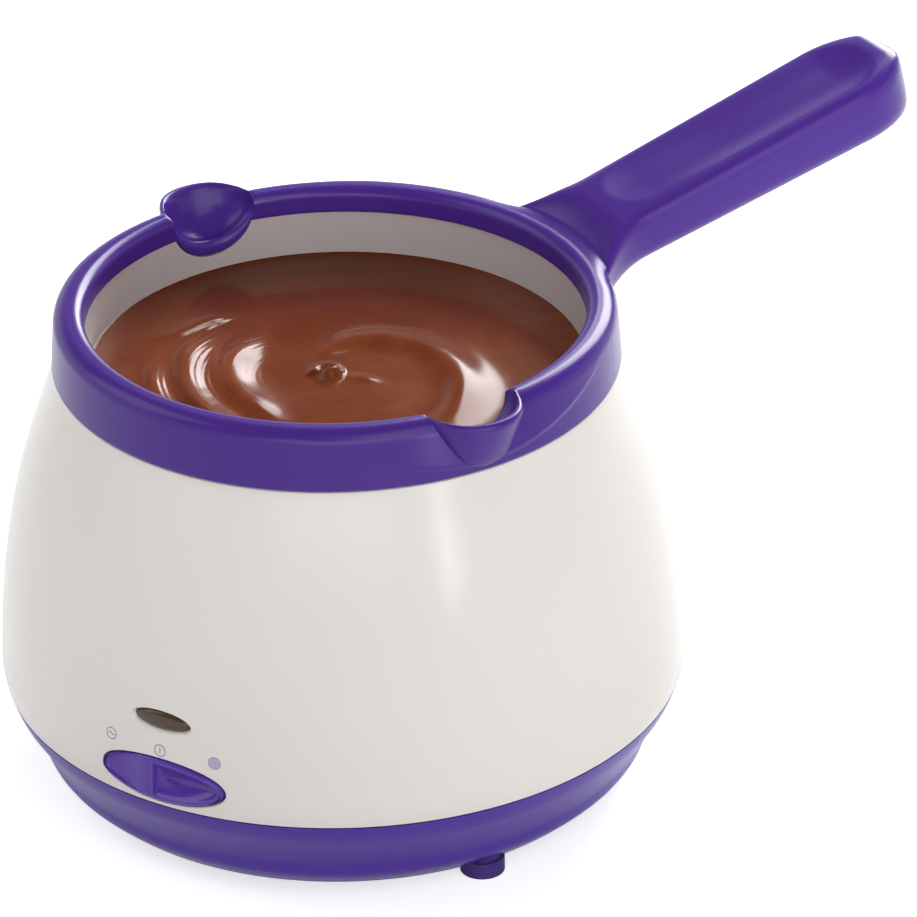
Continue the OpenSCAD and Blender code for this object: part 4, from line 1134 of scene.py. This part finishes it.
@dataclass
class SelectorCap:
    """Oval rocker cap: a shallow facet on one side, a scooped dish on the other and a ridge between."""

    body: PotBody
    z: float = 33.8
    half_h: float = 5.6
    round_r: float = 16.6
    pivot_y: float = -77.72
    proud: float = 0.5
    edge: float = 0.6
    dish_band: float = 1.1
    lip: float = 0.22
    dish_depth: float = 2.7
    dish_reach: float = 2.2
    facet_depth: float = 1.9
    facet_l: float = 9.0
    ridge_x: float = -2.4
    ridge_half_w: float = 0.7
    ridge_steep: float = 2.4
    facet_reach: float = 19.0
    lip_w: float = 0.5
    soft: float = 0.04
    hollow_start: float = 0.9
    slender: float = 3.0
    back_y: float = 2.6
    back_steps: int = 13
    rings: int = 90
    columns: int = 320

    def hollow(self, x: Array, inset: Array) -> Array:
        """Depth of the cap's hollows at a place on its face.

        On one side a dish with a band round it falls steeply from the ridge. On the other side a facet
        falls away slowly.

        Args:
            x: place to the right of the middle.
            inset: distance from the cap's outline.

        Returns:
            The depth in millimetres.
        """
        x = x - self.ridge_x
        inside = np.minimum(inset - self.dish_band, (x - self.ridge_half_w) * self.ridge_steep)
        soft = (inside + np.sqrt(inside**2 + self.soft)) / 2
        dish = self.dish_depth * (1.0 - np.exp(-soft / self.dish_reach))
        dish -= self.lip * np.exp(-(inside / self.lip_w) ** 2)
        past = np.clip((-x - self.ridge_half_w) / self.facet_l, 0.0, 1.0)
        return dish + self.facet_depth * smooth_step(past) * np.clip(1.0 + x / self.facet_reach, 0.0, 1.0)

    def build(self) -> bpy.types.Object:
        """Make the face as rings that shrink to its middle, then the round side and the back.

        Returns:
            The finished object.
        """
        angle = full_turn(self.columns)[None, :]
        depth = float(self.body.radius(self.z)) + self.proud + self.pivot_y
        front = float(np.sqrt(1.0 - ((depth - self.edge) / self.round_r) ** 2))
        share = np.linspace(0.0, 1.0, self.rings + 1)[1:, None]
        x = self.round_r * front * share * np.cos(angle)
        z = self.half_h * front * share * np.sin(angle)
        wall = self.body.radius(self.z + z)
        bulge = np.sqrt(np.maximum(wall**2 - x**2, 0.0)) + self.proud
        inset = (1.0 - share) * self.half_h * front
        inset = inset / np.sqrt(np.sin(angle) ** 2 + (np.cos(angle) / self.slender) ** 2)
        past = np.clip(1.0 - inset / self.edge, 0.0, 1.0)
        drop = self.edge * (1.0 - np.sqrt(1.0 - past**2))
        y = -(bulge - drop - self.hollow(x, inset) * smooth_step(inset / self.hollow_start))
        back = np.linspace(depth - self.edge, -self.back_y, self.back_steps + 1)[1:, None]
        scale = np.sqrt(np.maximum(1.0 - (back / self.round_r) ** 2, 0.0))
        side = joined(self.round_r * scale * np.cos(angle), self.pivot_y - back,
                      self.z + self.half_h * scale * np.sin(angle))
        skin = Skin()
        skin.capped(np.concatenate([joined(x, y, self.z + z), side]), (0.0, float(y[0].mean()), self.z),
                    (0.0, self.pivot_y + self.back_y, self.z))
        return skin.piece("selector_rocker", crease_turn=40.0)


@dataclass
class IndicatorLens:
    """Dark oval lens that stands in the housing's wall."""

    body: PotBody
    z: float = 49.0
    half_w: float = 7.42
    half_h: float = 2.32
    sink: float = 0.55
    crown: float = 0.75
    depth: float = 4.0
    edge_drop: float = 0.35
    edge_power: float = 8.0
    rings: int = 30
    columns: int = 160

    def build(self) -> bpy.types.Object:
        """Make a domed face, the side and the back: the dome falls with the square of the share outwards.

        Returns:
            The finished object.
        """
        angle = full_turn(self.columns)[None, :]
        share = np.linspace(0.0, 1.0, self.rings + 1)[1:, None]
        x, z = self.half_w * share * np.cos(angle), self.half_h * share * np.sin(angle)
        wall = np.sqrt(self.body.radius(self.z + z) ** 2 - x**2)
        dome = self.crown * (1.0 - share**2) - self.edge_drop * share**self.edge_power
        y = -(wall - self.sink + dome)
        back_y = -(wall[-1:] - self.depth)
        rows = np.concatenate([joined(x, y, self.z + z), joined(x[-1:], back_y, self.z + z[-1:])])
        skin = Skin()
        skin.capped(rows, (0.0, float(y[0].mean()), self.z), (0.0, float(back_y.mean()), self.z))
        return skin.piece("indicator_window", crease_turn=40.0)


class Mark(Enum):
    """Printed marks above the selector."""

    LOW_HEAT = "ring with a small wave"
    OFF = "ring with an upright bar"
    HIGH_HEAT = "ring with a hatched disc"


@dataclass
class HeatMarks:
    """Three small printed marks on the housing, each a ring about a plain sign."""

    body: PotBody
    z: float = 41.6
    radius: float = 1.45
    line: float = 0.3
    lift: float = 0.03
    spread_turn: float = 9.9
    front_turn: float = -90.0
    bar_half: float = 0.75
    wave_half: float = 0.85
    wave_h: float = 0.32
    hatch_r: float = 1.2
    hatch_half: float = 1.0
    hatch_count: int = 6
    hatch_line: float = 0.8

    def strip(self, skin: Skin, centre_turn: float, path: Array, width: float) -> None:
        """Lay a flat printed line along a path on the housing's wall.

        Args:
            skin: the piece that the line joins.
            centre_turn: where the mark stands, in degrees from the front.
            path: places across and up, from the mark's middle.
            width: width of the line.
        """
        ahead = np.gradient(path, axis=0)
        ahead /= np.linalg.norm(ahead, axis=1, keepdims=True)
        side = joined(-ahead[:, 1], ahead[:, 0]) * width / 2
        flat = np.stack([path - side, path + side])
        height = self.z + flat[..., 1]
        wall = self.body.radius(height)
        turn = self.front_turn + centre_turn + np.degrees(flat[..., 0] / wall)
        outer = ring_points(wall + self.lift, turn, height)
        inner = ring_points(wall - self.lift, turn, height)
        top, base = skin.add_points(outer), skin.add_points(inner)
        skin.stitch(top)
        skin.stitch(base)
        for end in (0, -1):
            skin.stitch(np.stack([top[end], base[end]]))
            skin.stitch(np.stack([top[:, end], base[:, end]]))

    def sign(self, mark: Mark) -> list[tuple[Array, float]]:
        """Lines inside a mark's ring, each a path and a width."""
        t = np.linspace(-1.0, 1.0, 25)
        if mark is Mark.OFF:
            return [(joined(0.0 * t, self.bar_half * t), self.line)]
        if mark is Mark.LOW_HEAT:
            return [(joined(self.wave_half * t, -self.wave_h * np.sin(np.pi * t)), self.line)]
        levels = np.linspace(-self.hatch_half, self.hatch_half, self.hatch_count)
        halves = np.sqrt(self.hatch_r**2 - levels**2)
        return [(joined(half * t, level + 0.0 * t), self.line * self.hatch_line)
                for half, level in zip(halves, levels)]

    def build(self, mark: Mark, centre_turn: float) -> bpy.types.Object:
        """Make one mark.

        Args:
            mark: which sign it holds.
            centre_turn: where it stands, in degrees from the front.

        Returns:
            The finished object.
        """
        skin = Skin()
        angle = np.linspace(0.0, 2.0 * np.pi, 73)
        ring = self.radius * joined(np.cos(angle), np.sin(angle))
        self.strip(skin, centre_turn, ring, self.line)
        for path, width in self.sign(mark):
            self.strip(skin, centre_turn, path, width)
        return skin.piece("mark_" + mark.name.lower(), crease_turn=30.0)


@dataclass(frozen=True)
class Opening:
    """Oval opening in the housing's front wall, with half sizes and how far its edge is eased."""

    name: str
    z: float
    half_w: float
    half_h: float
    flare: float


@dataclass
class Housing:
    """Ivory shell as one fine surface of revolution, with eased openings for selector and lens."""

    body: PotBody
    low_z: float = 26.8
    neck_r: float = 64.2
    neck_in_r: float = 62.25
    neck_top_z: float = 109.8
    neck_bevel: float = 0.3
    under_z: float = 104.8
    wall: float = 2.4
    edge: float = 0.5
    foot_turn: float = -80.0
    rise_steps: int = 63
    fall_steps: int = 39
    foot_steps: int = 5
    shoulder_steps: int = 6
    columns: int = 288
    plug_in: float = 9.0
    plug_out: float = 4.0
    plug_ease: float = 1.2
    plug_columns: int = 128
    crease_turn: float = 36.0
    openings: tuple[Opening, ...] = (
        Opening("selector_plug", z=33.8, half_w=16.8, half_h=5.84, flare=0.15),
        Opening("lens_plug", z=49.0, half_w=7.5, half_h=2.4, flare=0.75))

    def bend(self, corner: Array, turns: Array) -> Array:
        """Points of a rounded edge that ends at a corner of the outer curve."""
        angle = np.radians(turns)
        return corner - np.array([self.edge, 0.0]) + self.edge * joined(np.cos(angle), np.sin(angle))

    def profile(self) -> Array:
        """Closed outline: up the outer curve, round the shoulder, over the neck and down inside."""
        rise = np.linspace(self.low_z + self.edge, self.body.shoulder_z - self.edge, self.rise_steps + 1)
        outer = joined(self.body.radius(rise), rise)
        foot = self.bend(outer[0], np.linspace(self.foot_turn, 0.0, self.foot_steps + 1)[:-1])
        shoulder = self.bend(outer[-1], np.linspace(0.0, 90.0, self.shoulder_steps + 1)[1:])
        out_r, in_r, top_z, bevel = self.neck_r, self.neck_in_r, self.neck_top_z, self.neck_bevel
        neck = np.array([[out_r, self.body.shoulder_z], [out_r, top_z - bevel], [out_r - bevel, top_z],
                         [in_r + bevel, top_z], [in_r, top_z - bevel], [in_r, self.under_z]])
        fall = np.linspace(self.under_z, self.low_z, self.fall_steps + 1)
        inner = joined(self.body.radius(fall) - self.wall, fall)
        return np.concatenate([foot, outer, shoulder, neck, inner])

    def plug(self, opening: Opening) -> bpy.types.Object:
        """Oval plug to be taken away from the wall, wider at the surface so that the edge is eased.

        Args:
            opening: the opening that it makes.

        Returns:
            The plug.
        """
        angle, flare = full_turn(self.plug_columns)[None, :], opening.flare
        surface = float(self.body.radius(opening.z))
        curved = np.array([0.0, 1.0, 1.0, 1.0])[:, None]
        sag = (opening.half_w * np.cos(angle)) ** 2 / (2.0 * surface) * curved
        depth = np.array([self.plug_in, flare * self.plug_ease, 0.0, -self.plug_out])[:, None] + sag
        grow = np.array([0.0, 0.0, flare, flare + self.plug_out])[:, None]
        points = joined((opening.half_w + grow) * np.cos(angle), -(surface - depth),
                        opening.z + (opening.half_h + grow) * np.sin(angle))
        skin = Skin()
        skin.capped(points, points[0].mean(axis=0), points[-1].mean(axis=0))
        return skin.piece(opening.name, crease_turn=30.0)

    def build(self) -> bpy.types.Object:
        """Turn the outline about the axis and cut the two ovals.

        Returns:
            The finished object.
        """
        outline = self.profile()
        turn = np.linspace(0.0, 360.0, self.columns, endpoint=False)[:, None]
        skin = Skin()
        skin.grid(ring_points(outline[None, :, 0], turn, outline[None, :, 1]), True, True)
        shell = skin.piece("housing", self.crease_turn)
        plugs = [self.plug(opening) for opening in self.openings]
        for plug in plugs:
            cut = shell.modifiers.new(plug.name, "BOOLEAN")
            cut.operation, cut.object, cut.solver = "DIFFERENCE", plug, "EXACT"
        view = bpy.context.evaluated_depsgraph_get()
        done = bpy.data.meshes.new_from_object(shell.evaluated_get(view))
        shell.modifiers.clear()
        shell.data = done
        for plug in plugs:
            bpy.data.objects.remove(plug)
        smooth_shaded(done, self.crease_turn)
        return shell


IVORY = MouldedPlastic("ivory_gloss", tone(0.76, 0.73, 0.69), roughness=0.22, specular=0.45,
                       mottle=0.008, peel_mm=0.006, peel_size=160.0, scuff=0.015)
PURPLE = MouldedPlastic("purple_satin_gloss", tone(0.062, 0.019, 0.235), roughness=0.26, specular=0.3,
                        mottle=0.02, peel_mm=0.003, peel_size=200.0, scuff=0.01)
# Painted light: a bluer, lighter copy of the purple plastic for the base, its colour set to make up for
# the pale floor that it reflects.
PURPLE_BASE_REFLECTION_OFFSET = MouldedPlastic("purple_base_reflection_offset", tone(0.07, 0.024, 0.31), roughness=0.25, specular=0.3,
                             mottle=0.02, peel_mm=0.003, peel_size=180.0, scuff=0.01)
# Painted light: a lighter copy of the collar's purple plastic, so that the selector cap shows lighter.
PURPLE_CAP_PAINTED_LIGHT = MouldedPlastic("purple_cap_painted_light", tone(0.088, 0.032, 0.33), roughness=0.18, specular=0.45,
                            mottle=0.02, peel_mm=0.002, peel_size=300.0, scuff=0.01)
FOOT = SoftRubber("foot_rubber", tone(0.05, 0.024, 0.17))
GLAND = SoftRubber("gland_rubber", tone(0.018, 0.018, 0.02), roughness=0.55)
SEAL = SoftRubber("silicone_seal", tone(0.62, 0.61, 0.58), roughness=0.5)
BUSH = MouldedPlastic("bush_plastic", tone(0.68, 0.62, 0.5), roughness=0.45, specular=0.4, mottle=0.05,
                      peel_mm=0.02, peel_size=400.0, scuff=0.15)
DARK = MouldedPlastic("dark_moulding", tone(0.02, 0.016, 0.014), roughness=0.42, specular=0.4,
                      mottle=0.12, peel_mm=0.02, peel_size=500.0, scuff=0.15)
BLOCK = MouldedPlastic("terminal_plastic", tone(0.6, 0.55, 0.42), roughness=0.4, specular=0.4,
                       mottle=0.05, peel_mm=0.02, peel_size=420.0, scuff=0.12)
SLEEVE = MouldedPlastic("wire_sleeve", tone(0.28, 0.02, 0.015), roughness=0.38, specular=0.4,
                        mottle=0.1, peel_mm=0.015, peel_size=600.0, scuff=0.15)
WELL = WorkedMetal("spun_aluminium", tone(0.72, 0.72, 0.73), grain=MetalGrain.SPUN, roughness=0.24)
SHEET = WorkedMetal("sheet_steel", tone(0.56, 0.57, 0.58), grain=MetalGrain.ROLLED, roughness=0.3)
PLATED = WorkedMetal("plated_steel", tone(0.62, 0.62, 0.6), grain=MetalGrain.PLATED, roughness=0.25,
                     depth_mm=0.006)
FOIL = WorkedMetal("heater_foil", tone(0.6, 0.52, 0.4), grain=MetalGrain.ROLLED, roughness=0.35,
                   depth_mm=0.03)
FUSE = WorkedMetal("fuse_case", tone(0.7, 0.58, 0.32), grain=MetalGrain.PLATED, roughness=0.22,
                   depth_mm=0.005)
FELT = PressedFelt("insulation_felt", tone(0.78, 0.77, 0.74))
LAMP = LampGlass("lamp_glass", tone(0.95, 0.5, 0.18))
LENS = MouldedPlastic("lens_brown", tone(0.07, 0.046, 0.028), roughness=0.1, specular=0.4, mottle=0.1,
                      peel_mm=0.003, peel_size=160.0, scuff=0.02, coat=0.2)
CUP = CoatedCup("cup_coating", tone(0.5, 0.455, 0.445))
CHOCOLATE = WetChocolate("melted_chocolate", tone(0.165, 0.037, 0.013), light=tone(0.23, 0.06, 0.022),
                         roughness=0.12, specular=0.16)
INK = PrintedInk("mark_ink", tone(0.33, 0.28, 0.52))

NODE_FINISHES: dict[str, Finish] = {
    "base_pan": PURPLE_BASE_REFLECTION_OFFSET, "foot_pads": FOOT, "housing_screws": PLATED, "cord_gland": GLAND,
    "heat_well": WELL, "well_seal": SEAL, "well_bushes": BUSH, "heating_disc": FOIL,
    "insulation_pad": FELT, "clamp_plate": SHEET, "clamp_nut": PLATED, "thermostat": DARK,
    "thermal_fuse": FUSE, "fuse_clip": SHEET, "switch_body": DARK, "switch_bracket": SHEET,
    "bracket_screws": PLATED, "selector_pin": PLATED, "lamp_holder": BUSH, "indicator_lamp": LAMP,
    "terminal_block": BLOCK, "wire_loom": SLEEVE, "pot_cup": CUP}


@dataclass(frozen=True)
class Lamp:
    """Soft rectangular lamp that hangs on a sphere about the point that it faces.

    Its direction and its beam are in degrees, its distance and its sides in metres, its power in watts.
    """

    name: str
    turn: float
    rise: float
    away: float
    wide: float
    high: float
    power: float
    aim: tuple[float, float, float] = (0.0, 0.0, 0.08)
    beam: float = 180.0

    def hang(self) -> None:
        """Add the lamp to the scene."""
        data = bpy.data.lights.new(self.name, "AREA")
        data.shape, data.size, data.size_y, data.energy = "RECTANGLE", self.wide, self.high, self.power
        data.spread = float(np.radians(self.beam))
        lit = bpy.data.objects.new(self.name, data)
        bpy.context.collection.objects.link(lit)
        angle, lift = np.radians(self.turn), np.radians(self.rise)
        level = np.cos(lift)
        away = Vector((level * np.cos(angle), level * np.sin(angle), np.sin(lift))) * self.away
        lit.location = Vector(self.aim) + away
        lit.rotation_euler = (-away).to_track_quat("-Z", "Y").to_euler()


LAMPS = (
    Lamp("back_right", turn=97.0, rise=28.0, away=1.0, wide=0.52, high=0.66, power=12.5),
    Lamp("left_front", turn=205.0, rise=40.0, away=1.2, wide=0.8, high=0.8, power=3.4),
    Lamp("right_front", turn=-25.0, rise=34.0, away=1.2, wide=0.8, high=0.8, power=3.7),
    Lamp("grip_side", turn=-28.0, rise=4.0, away=0.8, wide=0.25, high=0.2, power=0.08,
         aim=(0.085, 0.155, 0.14), beam=24.0),
    Lamp("front", turn=-62.0, rise=20.0, away=1.6, wide=1.2, high=0.6, power=4.4))


@dataclass
class Studio:
    """Camera, pale floor, white surroundings and soft lamps."""

    eye: tuple[float, float, float] = (0.67038, -1.07989, 0.77332)
    target: tuple[float, float, float] = (0.02393, 0.01515, 0.07807)
    lens: float = 239.1
    roll: float = -0.016
    sensor: float = 36.0
    far: float = 20.0
    horizon: tuple[float, float] = (0.18, 0.46)
    mirrored: tuple[float, float] = (1.25, 0.1)
    ambient: float = 0.5
    floor_half_w: float = 2500.0
    floor_z: float = -0.05
    floor_glow: float = 0.62
    floor_mirror: float = 0.3

    def camera(self) -> None:
        """Set the camera at the photograph's angle, its roll applied to its right and up directions."""
        data = bpy.data.cameras.new("camera")
        data.lens, data.sensor_width, data.clip_end = self.lens, self.sensor, self.far
        seen = bpy.data.objects.new("camera", data)
        bpy.context.collection.objects.link(seen)
        ahead = (Vector(self.target) - Vector(self.eye)).normalized()
        right = ahead.cross(Vector((0.0, 0.0, 1.0))).normalized()
        up = right.cross(ahead)
        c, s = float(np.cos(self.roll)), float(np.sin(self.roll))
        columns = (right * c + up * s, up * c - right * s, -ahead)
        turn = Matrix([[column[row] for column in columns] for row in range(3)])
        seen.matrix_world = Matrix.Translation(self.eye) @ turn.to_4x4()
        bpy.context.scene.camera = seen

    def world(self) -> None:
        """White surroundings for the camera and for mirrored rays near the horizon, softer elsewhere."""
        world = bpy.data.worlds.new("surroundings")
        bpy.context.scene.world = world
        world.use_nodes = True
        graph = Graph(world.node_tree)
        path = graph.node("ShaderNodeLightPath")
        place = graph.signal(graph.node("ShaderNodeTexCoord"), "Generated")
        split = graph.node("ShaderNodeSeparateXYZ", None, {0: place})
        fade = graph.signal(graph.node("ShaderNodeMapRange", None, {
            "Value": graph.signal(split, "Z"), "From Min": self.horizon[0], "From Max": self.horizon[1],
            "To Min": self.mirrored[0], "To Max": self.mirrored[1]}), "Result")
        passed = graph.signal(path, "Is Transmission Ray")
        mirror = graph.signal(path, "Is Glossy Ray").sum("MAXIMUM", passed)
        level = graph.mix(mirror, self.ambient, fade)
        strength = graph.mix(graph.signal(path, "Is Camera Ray"), level, 1.0)
        sky = graph.node("ShaderNodeBackground", None, {"Strength": strength})
        graph.node("ShaderNodeOutputWorld", None, {0: graph.signal(sky)})

    def floor(self) -> None:
        """Pale floor that the camera sees as white, apart from the pot's shadow."""
        skin = Skin()
        side = np.linspace(-self.floor_half_w, self.floor_half_w, 5)
        x, y = np.meshgrid(side, side, indexing="ij")
        skin.grid(joined(x, y, np.array(self.floor_z)))
        ground = skin.piece("floor")
        shader = Shader("pale_floor")
        cloud = shader.noise(scale=3.0, detail=2.0)
        colour = shader.blend(cloud, tone(0.8, 0.8, 0.8), tone(0.84, 0.84, 0.84))
        shader.set(Base_Color=colour, Roughness=0.6, Specular_IOR_Level=0.2)
        plain = shader.signal(shader.surface)
        glow = shader.signal(shader.node("ShaderNodeEmission", None, {"Strength": self.floor_glow}))
        both = shader.signal(shader.node("ShaderNodeAddShader", None, {0: plain, 1: glow}))
        path = shader.node("ShaderNodeLightPath")
        mirror = shader.signal(path, "Is Glossy Ray") * self.floor_mirror
        seen = shader.signal(path, "Is Camera Ray").sum("MAXIMUM", mirror)
        choice = shader.node("ShaderNodeMixShader", None, {0: seen, 1: plain, 2: both})
        shader.tree.links.new(choice.outputs[0], shader.output.inputs["Surface"])
        ground.data.materials.append(shader.material)

    def build(self) -> None:
        """Set camera, world, floor and lamps."""
        bpy.context.scene.view_settings.view_transform = "Standard"
        self.camera()
        self.world()
        self.floor()
        for lamp in LAMPS:
            lamp.hang()


def place(piece: bpy.types.Object, finish: Finish, body: str, slot: str, *nodes: str) -> None:
    """Dress a new piece, tie it to its body and hide the solids that it stands for.

    Args:
        piece: the new object.
        finish: the finish that makes its material.
        body: the body that it moves with.
        slot: the record's material slot.
        nodes: solids that it replaces.
    """
    piece.data.materials.clear()
    piece.data.materials.append(finish.dress())
    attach(piece, body)
    if nodes:
        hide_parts(*nodes)
    LOG.info("%s rides on %s and shows %s", piece.name, body, slot)


def dress_nodes() -> None:
    """Give each solid that stays its own finish."""
    made: dict[str, bpy.types.Material] = {}
    for node, finish in NODE_FINISHES.items():
        if finish.name not in made:
            made[finish.name] = finish.dress()
        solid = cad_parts[node]
        for part in (solid if isinstance(solid, (list, tuple)) else [solid]):
            part.data.materials.clear()
            part.data.materials.append(made[finish.name])
        LOG.info("%s is finished as %s", node, finish.name)


def main() -> None:
    """Build the studio, the fine pieces and the finishes."""
    logging.basicConfig(level=logging.INFO, format="%(message)s")
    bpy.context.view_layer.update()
    Studio().build()
    body = PotBody()
    place(PotCollar().build(), PURPLE, "pot", "purple_plastic", "pot_collar")
    place(MeltedChocolate().build(), CHOCOLATE, "pot", "melted_chocolate", "chocolate")
    place(Housing(body).build(), IVORY, "base", "ivory_plastic", "housing_shell")
    place(SelectorCap(body).build(), PURPLE_CAP_PAINTED_LIGHT, "selector", "purple_plastic", "selector_cap")
    place(IndicatorLens(body).build(), LENS, "base", "lens_plastic", "indicator_lens")
    marks = HeatMarks(body)
    for mark, side in zip(Mark, (-1, 0, 1)):
        place(marks.build(mark, side * marks.spread_turn), INK, "base", "ivory_plastic")
    dress_nodes()


if __name__ == "__main__":
    main()
